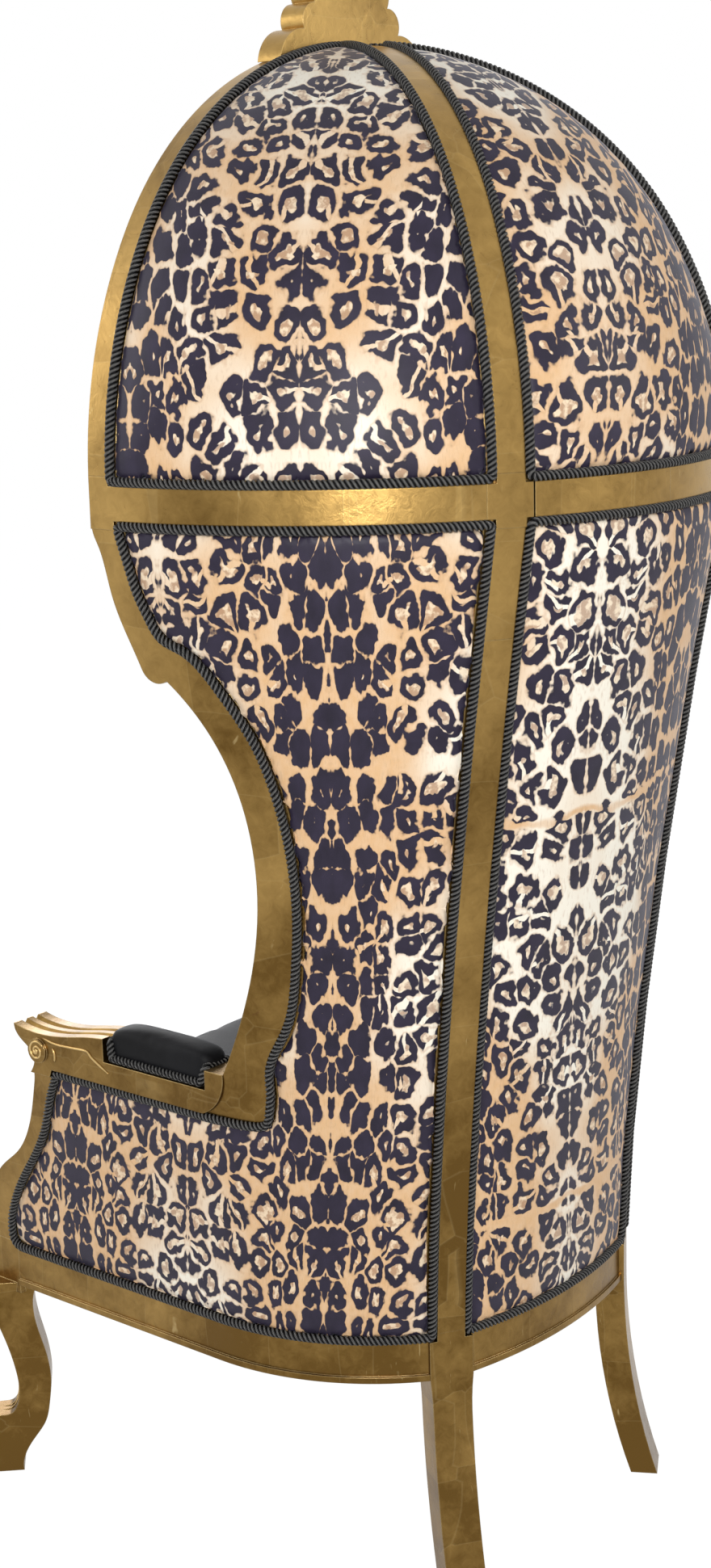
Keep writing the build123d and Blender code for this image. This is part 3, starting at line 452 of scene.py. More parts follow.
def leopard_print(name, seed, spot, band_rise, band_weight):
    """Short pile velvet printed with leopard: scalloped dark rosettes, broken open on one side, with tan
    hearts on a cream to tan ground. The print is mirrored about pale spines and dark solid columns."""
    material = new_material(name)
    chart = add_node("UVMap", uv_map="print").outputs[0]
    split = add_node("SeparateXYZ", {"Vector": chart})
    side = maths("PINGPONG", split.outputs[0], mirror_pitch)
    rise = split.outputs[1]
    past = maths("MAXIMUM", minus(side, mirror_pitch * 0.62), 0.0)
    drawn = maths("MULTIPLY_ADD", past, 0.55, side)
    to_fold = times(side, 0.9 / spot)
    lengthwise = plus(times(rise, 0.84), seed)
    folded = add_node("CombineXYZ", {"X": drawn, "Y": lengthwise, "Z": seed}).outputs[0]
    wavy = mix(0.0115, folded, speckle(folded, 42.0, 1.0, give="Color"), "LINEAR_LIGHT")
    wavy = mix(0.0015, wavy, speckle(folded, 210.0, 1.5, give="Color"), "LINEAR_LIGHT")
    cells = {"Vector": wavy, "Scale": 1 / spot, "Randomness": 0.74}
    rim, cell = [
        add_node("TexVoronoi", cells, feature=feature, voronoi_dimensions="2D").outputs
        for feature in ("DISTANCE_TO_EDGE", "F1")]
    edge = rim["Distance"]
    away = cell["Distance"]
    lot = add_node("SeparateColor", {"Color": cell["Color"]}).outputs
    broad = speckle(folded, 8.0, 2.0)
    crowd = plus(side, times(minus(broad, 0.5), 0.16))
    crowd = between(crowd, mirror_pitch * 0.62, mirror_pitch * 0.92)

    # Each spot's outline, the bands that darken it, and the tan heart inside its ring.
    gap = maths("MULTIPLY_ADD", crowd, -0.030, 0.050)
    gap = plus(gap, times(between(broad, 0.46, 0.68), 0.045))
    bulge = minus(maths("MULTIPLY_ADD", lot[0], 0.12, 0.46), away)
    bulge = plus(bulge, times(crowd, 0.06))
    outer = maths("SMOOTH_MIN", minus(maths("MINIMUM", edge, to_fold), gap), bulge, 0.24)
    lobes = speckle(folded, 105.0, 1.0)
    outer = plus(outer, maths("MULTIPLY_ADD", lobes, 0.34, -0.135))
    ripple = plus(rise, times(minus(broad, 0.5), 0.07))
    ripple = maths("MULTIPLY_ADD", speckle(folded, 70.0, 3.0), 0.012, ripple)
    band = maths("PINGPONG", plus(ripple, band_rise), band_pitch)
    band = times(minus(1.0, between(band, 0.001, 0.008)), band_weight)
    outer = minus(outer, times(band, 0.3))
    blot = between(outer, -0.01, 0.04)
    stroke = plus(maths("MULTIPLY_ADD", lot[1], 0.10, 0.215), times(crowd, 0.22))
    heart = between(minus(outer, stroke), 0.0, 0.035)

    # The break in a ring, on one side or on two.
    turn = times(lot[2], 2 * pi)
    way = add_node("CombineXYZ", {"X": maths("COSINE", turn), "Y": maths("SINE", turn)}).outputs[0]
    offset = add_node("VectorMath", {0: wavy, 1: cell["Position"]}, operation="SUBTRACT").outputs[0]
    offset = add_node("VectorMath", {0: offset, "Scale": 1 / spot}, operation="SCALE").outputs[0]
    flat = add_node("VectorMath", {0: offset, 1: (1, 1, 0)}, operation="MULTIPLY").outputs[0]
    along = dot(flat, way)
    aside = minus(times(away, away), times(along, along))
    aside = maths("SQRT", maths("MAXIMUM", aside, 0.0))
    slot = minus(1.0, between(aside, 0.065, 0.095))
    one_way = between(along, 0.02, 0.06)
    both_ways = maths("GREATER_THAN", lot[1], 0.72)
    slot = times(slot, maths("MAXIMUM", one_way, both_ways))
    slot = times(slot, maths("GREATER_THAN", lot[0], 0.45))
    slot = times(slot, maths("LESS_THAN", crowd, 0.3))
    ring = times(blot, minus(1.0, heart))
    ring = times(ring, minus(1.0, slot))

    # The ground, the hearts and the ink, and the pile over all.
    warm = plus(speckle(folded, 6.0, 2.0), times(between(side, 0.03, mirror_pitch), 0.22))
    warm = between(plus(warm, times(band, 0.2)), 0.39, 0.68)
    mottle = speckle(folded, 90.0, 3.0)
    ground = mix(warm, ground_pale, ground_tan)
    streak = speckle(stretched(folded, (420.0, 120.0, 1.0)), 1.0, 2.0)
    ground = mix(times(mottle, 0.30), ground, ground_pale)
    ground = mix(times(between(streak, 0.52, 0.75), 0.30), ground, (0.50, 0.31, 0.17, 1))
    fringe = minus(1.0, maths("ABSOLUTE", times(outer, 14.0)), clamp=True)
    ground = mix(times(fringe, 0.45), ground, (0.56, 0.33, 0.17, 1))
    hearts = between(speckle(folded, 130.0, 3.0), 0.42, 0.60)
    hearts = mix(hearts, (0.42, 0.25, 0.15, 1), (0.86, 0.70, 0.50, 1))
    inside = mix(times(heart, 0.8), ground, hearts)
    ink = mix(speckle(folded, 40.0, 4.0), (0.005, 0.003, 0.008, 1), (0.036, 0.028, 0.056, 1))
    colour = mix(ring, inside, ink)
    pile = speckle(chart, 1300.0, 2.0)
    colour = mix(0.14, colour, pile, "OVERLAY")
    slack = speckle(chart, 7.0, 3.0)
    height = plus(times(slack, 2.0), times(pile, 0.16))
    return finished(material, colour, 0.46, height, 0.35, 0.0022, None, {
        "Specular IOR Level": 0.24, "Sheen Weight": 0.10, "Sheen Roughness": 0.4,
        "Sheen Tint": (0.86, 0.88, 1.0, 1.0)})


hood_print = leopard_print("leopard_hood", 3.1, 0.031, 0.15, 0.15)
side_print = leopard_print("leopard_side", 7.7, 0.030, 0.02, 0.0)
back_print = leopard_print("leopard_back", 12.4, 0.031, 0.041, 0.8)


def cover(node, cord, material, measure, place_of):
    """One padded cover, swelling between its cords."""
    piece = remeshed(node.replace("panel", "cover"), nodes[node], cover_voxel)
    near = tree_of(edge_points(cord))
    for vertex, normal in with_normals(piece):
        if measure(vertex.co)[1] > -cover_depth:
            edge, _, gap = near.find(vertex.co)
            toward = edge - vertex.co
            toward -= normal * toward.dot(normal)
            vertex.co += normal * (cover_edge + cover_swell * (1 - exp(-gap / cover_ease)))
            vertex.co += toward.normalized() * (cover_push * max(1 - gap / cover_reach, 0))
    print_places(piece, place_of)
    dressed(piece, material, "leopard", node)


def side_place(point):
    """Where a point of the side lies on its cloth."""
    return side_measure(point)[0] - side_lean * (point.z - side_lean_foot) + side_shift, point.z


def back_place(point):
    """Where a point of the back lies on its cloth."""
    return back_measure(point)[0] - back_lean * (point.z - back_lean_foot) - back_shift, point.z


def hood_back_place(point):
    """Where a point of the hood's back lies on its cloth."""
    rise = hood_measure(point)[0]
    return point.x - hood_back_shift + hood_back_lean * rise, rise + hood_back_start


for side, sign in (("left", 1), ("right", -1)):
    turned = Vector((-sin(hood_middle) * sign, cos(hood_middle), 0))
    cover(f"side_panel_{side}", f"side_cord_{side}", side_print, side_measure, side_place)
    cover(f"hood_side_panel_{side}", f"hood_side_cord_{side}", hood_print, hood_measure,
          lambda point, turned=turned: (point.dot(turned), hood_measure(point)[0]))
cover("back_panel", "back_cord", back_print, back_measure, back_place)
cover("hood_back_panel", "hood_back_cord", hood_print, hood_measure, hood_back_place)

# Cords: black rayon cord of three strands, glued into the rebate round each cover, its lay running
# the same way all round and its corners turned in a soft bend.
cord_step = 0.0013
cord_corner = 0.008
cord_radius = 0.0049
cord_lay = 0.0155  # length of one full turn of the strands
cord_sides = 12
strip_corner = radians(40)  # the least angle at a long edge of a cord's strip


def welded(node):
    """A CAD node's mesh in the making, its doubled corners joined."""
    shape = bmesh.new()
    shape.from_mesh(nodes[node].data)
    bmesh.ops.remove_doubles(shape, verts=shape.verts, dist=weld_reach)
    return shape


def mean(points):
    """The middle of some points."""
    return sum(points, Vector((0, 0, 0))) / len(points)


def loop_ends(node, measure):
    """The four long edges of a cord's strip, as point lists: outer and inner, top and bed."""
    shape = welded(node)
    stands = {vertex: measure(vertex.co)[1] for vertex in shape.verts}
    middle = (min(stands.values()) + max(stands.values())) / 2
    links = {}
    for edge in shape.edges:
        high = [stands[vertex] > middle for vertex in edge.verts]
        sharp = len(edge.link_faces) == 2 and edge.calc_face_angle(0) > strip_corner
        if sharp and high[0] == high[1]:
            for vertex, other in (edge.verts, reversed(edge.verts)):
                links.setdefault(vertex, []).append(other)
    loops = []
    while links:
        start = next(iter(links))
        loop, last, here = [start], None, start
        while True:
            onward = [other for other in links.get(here, []) if other is not last and other in links]
            if last is not None:
                links.pop(last, None)
            if not onward or onward[0] is start:
                links.pop(here, None)
                break
            last, here = here, onward[0]
            loop.append(here)
        points = [vertex.co.copy() for vertex in loop]
        if len(points) > 8:
            loops.append((stands[start] > middle, points))
    shape.free()
    return loops


def spread(points, step, closed=True):
    """The same line with its points an even step apart."""
    line = points + points[:1] if closed else points
    length = sum((b - a).length for a, b in zip(line, line[1:]))
    count = max(int(length / step), 8)
    stride = length / count
    result, gone, want = [], 0.0, 0.0
    for a, b in zip(line, line[1:]):
        run = (b - a).length
        while want <= gone + run and len(result) < count:
            result.append(a.lerp(b, (want - gone) / run if run else 0))
            want += stride
        gone += run
    return result


def softened(points, window):
    """A closed line averaged over a window, which rounds its corners."""
    half = max(int(window / 2), 1)
    count = len(points)
    total = Vector((0, 0, 0))
    for index in range(-half, half + 1):
        total += points[index % count]
    result = []
    for index in range(count):
        result.append(total / (2 * half + 1))
        total += points[(index + half + 1) % count] - points[(index - half) % count]
    return result


def length_of(points):
    """How long a line is."""
    return sum((b - a).length for a, b in zip(points, points[1:]))


def cord_line(node, measure):
    """The middle line of a cord's strip, all round."""
    loops = sorted(loop_ends(node, measure), key=lambda loop: -length_of(loop[1]))
    top = [points for high, points in loops if high][:2]
    bed = [points for high, points in loops if not high][:2]
    outer = spread(top[0], cord_step)
    others = [tree_of(spread(points, cord_step)) for points in (top[1], bed[0], bed[1])]
    middle = [mean([point] + [found.find(point)[0] for found in others]) for point in outer]
    return spread(softened(spread(middle, cord_step), cord_corner / cord_step), cord_step)


def lay_cord(name, line, radius, lay=cord_lay):
    """Three strands laid up along a closed line, as one skin with a map of run and turn."""
    shape = bmesh.new()
    chart = shape.loops.layers.uv.new("lay")
    count = len(line)
    turns = max(round(cord_step * count / lay), 1)
    aheads = [(line[(index + 1) % count] - line[index - 1]).normalized() for index in range(count)]
    sides = [aheads[0].orthogonal().normalized()]
    for ahead in aheads[1:] + aheads[:1]:
        sides.append((sides[-1] - ahead * sides[-1].dot(ahead)).normalized())
    slip = atan2(aheads[0].dot(sides[0].cross(sides[-1])), sides[0].dot(sides[-1]))
    rings = []
    for index, (point, ahead, across_line) in enumerate(zip(line, aheads, sides)):
        up_line = ahead.cross(across_line)
        twist = (2 * pi * turns - slip) * index / count
        ring = []
        for place in range(cord_sides):
            angle = 2 * pi * place / cord_sides
            reach = radius * (0.66 + 0.38 * sqrt(abs(cos(1.5 * angle))))
            aside, above = reach * cos(angle + twist), reach * sin(angle + twist)
            ring.append(shape.verts.new(point + across_line * aside + up_line * above))
        rings.append(ring)
    for index, first in enumerate(rings):
        second = rings[(index + 1) % count]
        for place in range(cord_sides):
            other = (place + 1) % cord_sides
            face = shape.faces.new((first[place], first[other], second[other], second[place]))
            corners = ((index, place), (index, place + 1), (index + 1, place + 1), (index + 1, place))
            for loop, (run, turn) in zip(face.loops, corners):
                loop[chart].uv = (run * turns / count, turn / cord_sides)
    bmesh.ops.recalc_face_normals(shape, faces=shape.faces)
    return mesh_piece(name, shape)


def cord_rayon():
    """Glossy black rayon, its fine yarns running along each strand, with painted shade in the grooves
    between strands and painted highlights on their crests.
    """
    material = new_material("cord_rayon")
    chart = add_node("UVMap", uv_map="lay").outputs[0]
    split = add_node("SeparateXYZ", {"Vector": chart})
    strand = times(split.outputs[1], 3.0)
    off_crest = maths("ABSOLUTE", minus(maths("FRACT", plus(strand, 0.5)), 0.5))
    yarns = maths("SINE", times(plus(strand, times(split.outputs[0], 0.8)), 38.0))
    # Painted shade: the grooves between the strands are painted darker than their crests.
    crest = ramp(off_crest, (0.10, 1.0), (0.36, 0.0))
    # Painted highlight: pale glints along the yarns on each crest.
    painted_crest_highlight = times(maths("POWER", maths("MULTIPLY_ADD", yarns, 0.5, 0.5), 2.0), crest)
    colour = mix(crest, (0.0008, 0.0008, 0.0010, 1), (0.008, 0.008, 0.009, 1))
    colour = mix(times(painted_crest_highlight, 0.75), colour, (0.36, 0.35, 0.33, 1))
    return finished(material, colour, 0.42, yarns, 0.4, 0.0003, None, {"Specular IOR Level": 0.12})


rayon = cord_rayon()
edged = [("back_cord", back_measure), ("hood_back_cord", hood_measure)]
for side in ("left", "right"):
    edged += [(f"side_cord_{side}", side_measure), (f"hood_side_cord_{side}", hood_measure)]
for node, measure in edged:
    laid = lay_cord(node.replace("cord", "edging"), cord_line(node, measure), cord_radius)
    dressed(laid, rayon, "cord", node)

# Arm pads: hair stuffed tight under black velvet over the seat cut in each arm, bulging above the cord
# that edges it. The velvet is tacked down and the cord is glued over its edge.
pad_voxel = 0.004
pad_stretch = (1.14, 1.11)
pad_cap = 0.0075
pad_crown = 1.08
pad_droop = 0.20  # how much of that height goes at both ends
edging_radius = 0.0046
edging_corner = 0.006
edging_rise = 0.018  # how far the cord climbs at both ends of a pad
edging_level = 0.92  # share of a pad's length over which it lies level


def velvet(name, base, sheen):
    """Plain short pile velvet, brushed unevenly, with a painted sheen that lightens it where it is seen
    at a grazing angle.
    """
    material = new_material(name)
    place = on_object()
    brushed = speckle(place, 9.0, 4.0, 0.6, 0.8)
    pile = speckle(place, 900.0, 2.0)
    dark = tuple(channel * 0.45 for channel in base) + (1,)
    light = tuple(channel * 1.8 for channel in base) + (1,)
    colour = mix(ramp(brushed, (0.35, 0.0), (0.70, 1.0)), dark, light)
    # Painted sheen: the colour is lightened towards four times the base where the pile is seen edge on.
    painted_grazing_sheen = add_node("LayerWeight", {"Blend": 0.35}).outputs["Facing"]
    colour = mix(times(painted_grazing_sheen, 0.35), colour, tuple(channel * 4 for channel in base) + (1,))
    height = plus(times(brushed, 1.5), times(pile, 0.3))
    return finished(material, colour, 0.55, height, 0.4, 0.0015, None, {
        "Specular IOR Level": 0.12, "Sheen Weight": sheen, "Sheen Roughness": 0.35,
        "Sheen Tint": (0.80, 0.84, 1.0, 1.0)})


def plumped(piece, cap, pressure=4.0, steps=20):
    """Fill a closed cover by a short cloth simulation, with a limit on how far it may swell."""
    before = [vertex.co.copy() for vertex in piece.data.vertices]
    cloth = piece.modifiers.new("fill", "CLOTH")
    cloth.settings.use_pressure = True
    cloth.settings.uniform_pressure_force = pressure
    cloth.settings.effector_weights.gravity = 0
    cloth.point_cache.frame_start = 1
    cloth.point_cache.frame_end = steps
    for step in range(1, steps + 1):
        bpy.context.scene.frame_set(step)
    bake(piece)
    bpy.context.scene.frame_set(1)
    for vertex, start in zip(piece.data.vertices, before):
        move = vertex.co - start
        if move.length > cap:
            vertex.co = start + move * (cap / move.length)


def refined(piece):
    """Round a piece's facets with one subdivision."""
    subdivide = piece.modifiers.new("refine", "SUBSURF")
    subdivide.levels = 1
    subdivide.render_levels = 1
    bake(piece)


black_velvet = velvet("velvet_black", (0.0042, 0.0042, 0.0048), 0.05)
for side in ("left", "right"):
    pad = remeshed(f"arm_cushion_{side}", nodes[f"arm_pad_{side}"], pad_voxel)
    points = [vertex.co for vertex in pad.data.vertices]
    seat_z = min(point.z for point in points)
    middle = mean(points)
    for vertex in pad.data.vertices:
        vertex.co.x = middle.x + (vertex.co.x - middle.x) * pad_stretch[0]
        vertex.co.y = middle.y + (vertex.co.y - middle.y) * pad_stretch[1]
    plumped(pad, pad_cap)
    half_length = max(abs(vertex.co.y - middle.y) for vertex in pad.data.vertices)
    for vertex in pad.data.vertices:
        droop = pad_droop * ((vertex.co.y - middle.y) / half_length) ** 4
        vertex.co.z = max(seat_z + (vertex.co.z - seat_z) * (pad_crown - droop), seat_z)
    refined(pad)
    dressed(pad, black_velvet, "velvet", f"arm_pad_{side}")
    strip = [vertex.co for vertex in nodes[f"arm_pad_cord_{side}"].data.vertices]
    low, high = [
        Vector([end(point[axis] for point in strip) + inset for axis in range(3)])
        for end, inset in ((min, edging_radius), (max, -edging_radius))]
    line = []
    for start, (x, y) in enumerate(((high.x, high.y), (low.x, high.y), (low.x, low.y), (high.x, low.y))):
        centre = Vector((x, y, low.z))
        centre.x += edging_corner if x == low.x else -edging_corner
        centre.y += edging_corner if y == low.y else -edging_corner
        for step in range(9):
            angle = (start + step / 8) * pi / 2
            line.append(centre + Vector((cos(angle), sin(angle), 0)) * edging_corner)
    line = spread(line, cord_step)
    reach = max(abs(point.y - middle.y) for point in line)
    for point in line:
        climb = max(abs(point.y - middle.y) / reach - edging_level, 0) / (1 - edging_level)
        point.z += edging_rise * climb * climb * (3 - 2 * climb)
    edging = lay_cord(f"arm_edging_{side}", spread(line, cord_step), edging_radius)
    dressed(edging, rayon, "cord", f"arm_pad_cord_{side}")

# Inside: the back and both sides are deep buttoned in black velvet, in diamonds whose folds run from
# button to button, and the hood is lined in flutes that gather under a covered rosette.
lining_voxel = 0.0065
hood_voxel = 0.009
tuft_across = 0.112
tuft_up = 0.136
tuft_foot = 0.5  # height of one row of buttons
tuft_fold = 0.013
tuft_lift = 0.004  # how far the puffs rise over the plain lining
button_dip = 0.009
button_hollow = 0.016  # how wide a button's dip is
button_reach = 0.006  # how near its middle a button sits
button_radius = 0.0085
side_face = -0.0793  # stand of the linings' seen faces, from the gilded face
back_face = -0.0687
lining_depth = 0.007  # how deep the buttoning still reaches behind the seen face
flute_count = 24
flute_depth = 0.010
flute_face = -0.058
flute_gather = 0.16  # reach inside which the flutes die away into the rosette
rosette_radius = 0.022
rosette_back = 0.026


def tuft(run, rise):
    """How deep a buttoned face lies under its puffs, and the nearest button with its distance."""
    p, q = run / tuft_across, rise / tuft_up
    first, second = p + q, p - q
    fold_a = abs(first - round(first))
    fold_b = abs(second - round(second))
    puff = (sin(pi * fold_a) * sin(pi * fold_b)) ** 0.45
    near_a, near_b = round(first), round(second)
    centre = ((near_a + near_b) / 2 * tuft_across, (near_a - near_b) / 2 * tuft_up)
    gap = hypot(run - centre[0], rise - centre[1])
    return tuft_fold * (1 - puff) + button_dip * exp(-((gap / button_hollow) ** 2)), centre, gap


def covered_button(shape, place, normal, radius):
    """A domed button with a flat back, added to a mesh in the making."""
    made = bmesh.ops.create_uvsphere(shape, u_segments=16, v_segments=10, radius=radius)
    flattened = Matrix.Diagonal((1, 1, 0.55, 1))
    turned = normal.to_track_quat("Z", "Y").to_matrix().to_4x4()
    bmesh.ops.transform(
        shape, verts=made["verts"], matrix=Matrix.Translation(place) @ turned @ flattened)


def buttoned(name, node, measure, seen_face):
    """A deep buttoned lining with its covered buttons."""
    lining = remeshed(name, nodes[node], lining_voxel)
    buttons = {}
    for vertex, normal in with_normals(lining):
        run, stand = measure(vertex.co)
        if stand > seen_face + lining_depth:
            continue
        depth, centre, gap = tuft(run, vertex.co.z - tuft_foot)
        vertex.co += normal * (tuft_lift - depth)
        if gap < buttons.get(centre, (button_reach,))[0]:
            buttons[centre] = (gap, vertex.co + normal * 0.002, normal)
    refined(lining)
    dressed(lining, black_velvet, "velvet", node)
    shape = bmesh.new()
    for _, place, normal in buttons.values():
        covered_button(shape, place, normal, button_radius)
    dressed(mesh_piece(name.replace("lining", "buttons"), shape), black_velvet, "velvet")


buttoned("inner_back_lining", "back_lining", back_measure, back_face)
for side in ("left", "right"):
    buttoned(f"inner_side_lining_{side}", f"side_lining_{side}", side_measure, side_face)

hood = remeshed("inner_hood_lining", nodes["hood_lining"], hood_voxel)
for vertex, normal in with_normals(hood):
    if hood_measure(vertex.co)[1] < flute_face:
        turn = atan2(vertex.co.y, vertex.co.x)
        reach = hypot(vertex.co.x, vertex.co.y)
        flute = abs(sin(turn * flute_count / 2)) ** 0.6
        vertex.co += normal * (flute_depth * min(reach / flute_gather, 1) * (flute - 0.75))
refined(hood)
dressed(hood, black_velvet, "velvet", "hood_lining")
crown = min(vertex.co.z for vertex in hood.data.vertices if hypot(vertex.co.x, vertex.co.y) < 0.02)
shape = bmesh.new()
covered_button(shape, Vector((0, rosette_back, crown - 0.002)), Vector((0, 0, -1)), rosette_radius)
dressed(mesh_piece("hood_rosette", shape), black_velvet, "velvet")
dress("crown_block", black_velvet)

# Seat: a tight sprung platform with a loose box cushion on it, both in the same velvet, the cushion
# crowned in the middle and piped with thin cord round its top and bottom edges.
seat_split = 0.373
seat_gap = 0.001  # between the platform and the cushion
seat_voxel = 0.008
seat_ease = 0.972
seat_cap = 0.011
crown_rise = 0.010
crown_sink = 0.004  # how far the cushion's rim lies under its first height
crown_reach = (0.21, 0.27)  # half width and half depth of the cushion's crown
crown_middle = -0.1
cushion_upper = 0.05  # height in the cushion over which its face is crowned
piping_radius = 0.0032
piping_lay = 0.011
piping_rises = {"bottom": 0.007, "top": 0.078}
piping_soften = 12


def slab(name, node, low, high):
    """The part of a soft CAD solid between two heights, drawn in a little sideways."""
    shape = welded(node)
    for height, way in ((low, -1), (high, 1)):
        everything = shape.verts[:] + shape.edges[:] + shape.faces[:]
        cut = bmesh.ops.bisect_plane(
            shape, geom=everything, plane_co=(0, 0, height), plane_no=(0, 0, way), clear_outer=True)
        rim = [part for part in cut["geom_cut"] if isinstance(part, bmesh.types.BMEdge)]
        if rim:
            bmesh.ops.holes_fill(shape, edges=rim)
    middle = mean([vertex.co for vertex in shape.verts])
    for vertex in shape.verts:
        vertex.co.x *= seat_ease
        vertex.co.y = middle.y + (vertex.co.y - middle.y) * seat_ease
    rough = mesh_piece(name + "_block", shape)
    piece = remeshed(name, rough, seat_voxel, 4)
    bpy.data.objects.remove(rough)
    return piece


def girth(piece, height, count=260):
    """Points round a piece at a height."""
    surface = BVHTree.FromObject(piece, bpy.context.evaluated_depsgraph_get())
    points = [vertex.co for vertex in piece.data.vertices]
    middle = Vector((0, (max(p.y for p in points) + min(p.y for p in points)) / 2, height))
    line = []
    for index in range(count):
        angle = 2 * pi * index / count
        way = Vector((cos(angle), sin(angle), 0))
        line.append(surface.ray_cast(middle + way, -way)[0])
    return [point for point in line if point]


platform = slab("seat_platform", "seat_pad", -1, seat_split - seat_gap)
cushion = slab("seat_cushion", "seat_pad", seat_split, 1)
plumped(cushion, seat_cap)
for vertex in cushion.data.vertices:
    x, y, z = vertex.co
    crosswise, lengthwise = x / crown_reach[0], (y - crown_middle) / crown_reach[1]
    crowned = max(1 - crosswise**2, 0) * max(1 - lengthwise**2, 0)
    if z > seat_split + cushion_upper:
        vertex.co.z += crown_rise * crowned - crown_sink
    vertex.co.z = max(vertex.co.z, seat_split)
piping = {place: girth(cushion, seat_split + rise) for place, rise in piping_rises.items()}
for piece in (platform, cushion):
    refined(piece)
    dressed(piece, black_velvet, "velvet", "seat_pad")
for place, line in piping.items():
    line = spread(softened(spread(line, cord_step), piping_soften), cord_step)
    dressed(lay_cord(f"seat_piping_{place}", line, piping_radius, piping_lay), rayon, "cord")

# Under the seat: interlaced jute webbing tacked across the frame, glue blocks in its corners, and a
# black cambric dust cover stretched over the underside.
web_thick = 0.0011
web_half = 0.025
web_middle = 0.30235
web_wave = 0.0007
web_crossing = 0.024  # half the run over which a web is lifted by another
web_step = 0.006
web_across = (-0.3135, -0.2035, -0.0935, 0.0165, 0.1265)
web_along = (-0.09, -0.03, 0.03, 0.09)
web_near = 0.002  # how near an edge of the solid webs counts as on it
cloth_sag = 0.0035
cloth_ease = 0.07
cloth_thick = 0.0007
cloth_step = 0.026


def yarns(place, scale, way, stray=0.0):
    """Bands of yarn lying one way."""
    inputs = {"Vector": place, "Scale": scale, "Distortion": stray}
    return add_node("TexWave", inputs, bands_direction=way).outputs["Fac"]


def jute():
    """Undyed jute webbing: a coarse twill of pale and dark yarns."""
    material = new_material("jute_webbing")
    place = on_object()
    weave = yarns(place, 210.0, "DIAGONAL", 0.4)
    colour = mix(weave, (0.24, 0.155, 0.075, 1), (0.42, 0.30, 0.16, 1))
    colour = mix(times(speckle(place, 130.0, 4.0), 0.4), colour, (0.50, 0.40, 0.25, 1))
    return finished(material, colour, 0.88, weave, 0.5, 0.0006)


def cambric():
    """Thin black glazed cotton."""
    material = new_material("cambric_black")
    place = on_object()
    weave = times(yarns(place, 420.0, "X"), yarns(place, 420.0, "Y"))
    colour = mix(weave, (0.006, 0.006, 0.007, 1), (0.028, 0.028, 0.030, 1))
    colour = mix(times(speckle(place, 12.0, 4.0), 0.3), colour, (0.05, 0.048, 0.045, 1))
    return finished(material, colour, 0.75, weave, 0.4, 0.0003)


def bare_beech():
    """Planed beech: fine flecks along a straight grain."""
    material = new_material("beech_bare")
    place = on_object()
    grain = stretched(place, (14.0, 160.0, 160.0))
    streak = speckle(grain, 1.0, 5.0, 0.6, 0.5)
    fleck = ramp(speckle(grain, 3.0, 2.0), (0.62, 0.0), (0.70, 1.0))
    colour = mix(streak, (0.36, 0.20, 0.10, 1), (0.58, 0.38, 0.22, 1))
    colour = mix(times(fleck, 0.4), colour, (0.24, 0.12, 0.06, 1))
    return finished(material, colour, 0.6, streak, 0.2, 0.0006)


def skinned(shape, rings):
    """A skin over a row of rings, closed at both ends, added to a mesh in the making."""
    count = len(rings[0])
    for first, second in zip(rings, rings[1:]):
        shift = min(range(count), key=lambda place: (second[place].co - first[0].co).length)
        for place in range(count):
            other = (place + 1) % count
            shape.faces.new(
                (first[place], first[other], second[(other + shift) % count],
                 second[(place + shift) % count]))
    shape.faces.new(list(reversed(rings[0])))
    shape.faces.new(rings[-1])


def strap(shape, start, end, crossings, way):
    """One web from rail to rail, passing over and under those that it crosses."""
    run = end - start
    count = int(run.length / web_step)
    beside = run.normalized().cross(Vector((0, 0, 1))) * web_half
    above = Vector((0, 0, web_thick / 2))
    rows = []
    for index in range(count + 1):
        middle = start + run * (index / count)
        gone = (middle - start).length
        near = min(range(len(crossings)), key=lambda turn: abs(crossings[turn] - gone))
        lift = exp(-(((crossings[near] - gone) / web_crossing) ** 4)) * (1 if (near + way) % 2 else -1)
        middle = middle + Vector((0, 0, web_wave * lift))
        corners = ((-1, -1), (1, -1), (1, 1), (-1, 1))
        rows.append([shape.verts.new(middle + beside * t + above * h) for t, h in corners])
    skinned(shape, rows)


def web_ends(cross, along, upper):
    """The places of the CAD webs along both edges of one web."""
    return [
        [point[along] for point in webs
         if (point.z > web_middle) == upper and abs(point[1 - along] - edge) < web_near]
        for edge in (cross - web_half, cross + web_half)]


webs = [vertex.co for vertex in nodes["seat_webbing"].data.vertices]
shape = bmesh.new()
for index, y in enumerate(web_across):
    reach = min(max(line) for line in web_ends(y, 0, False))
    ends = [Vector((x, y, web_middle)) for x in (-reach, reach)]
    strap(shape, *ends, [x + reach for x in web_along], index)
for index, x in enumerate(web_along):
    edges = web_ends(x, 1, True)
    front, rear = max(min(line) for line in edges), min(max(line) for line in edges)
    ends = [Vector((x, y, web_middle)) for y in (front, rear)]
    strap(shape, *ends, [y - front for y in web_across], index + 1)
bmesh.ops.recalc_face_normals(shape, faces=shape.faces)
dressed(mesh_piece("webbing_straps", shape), jute(), "webbing", "seat_webbing")

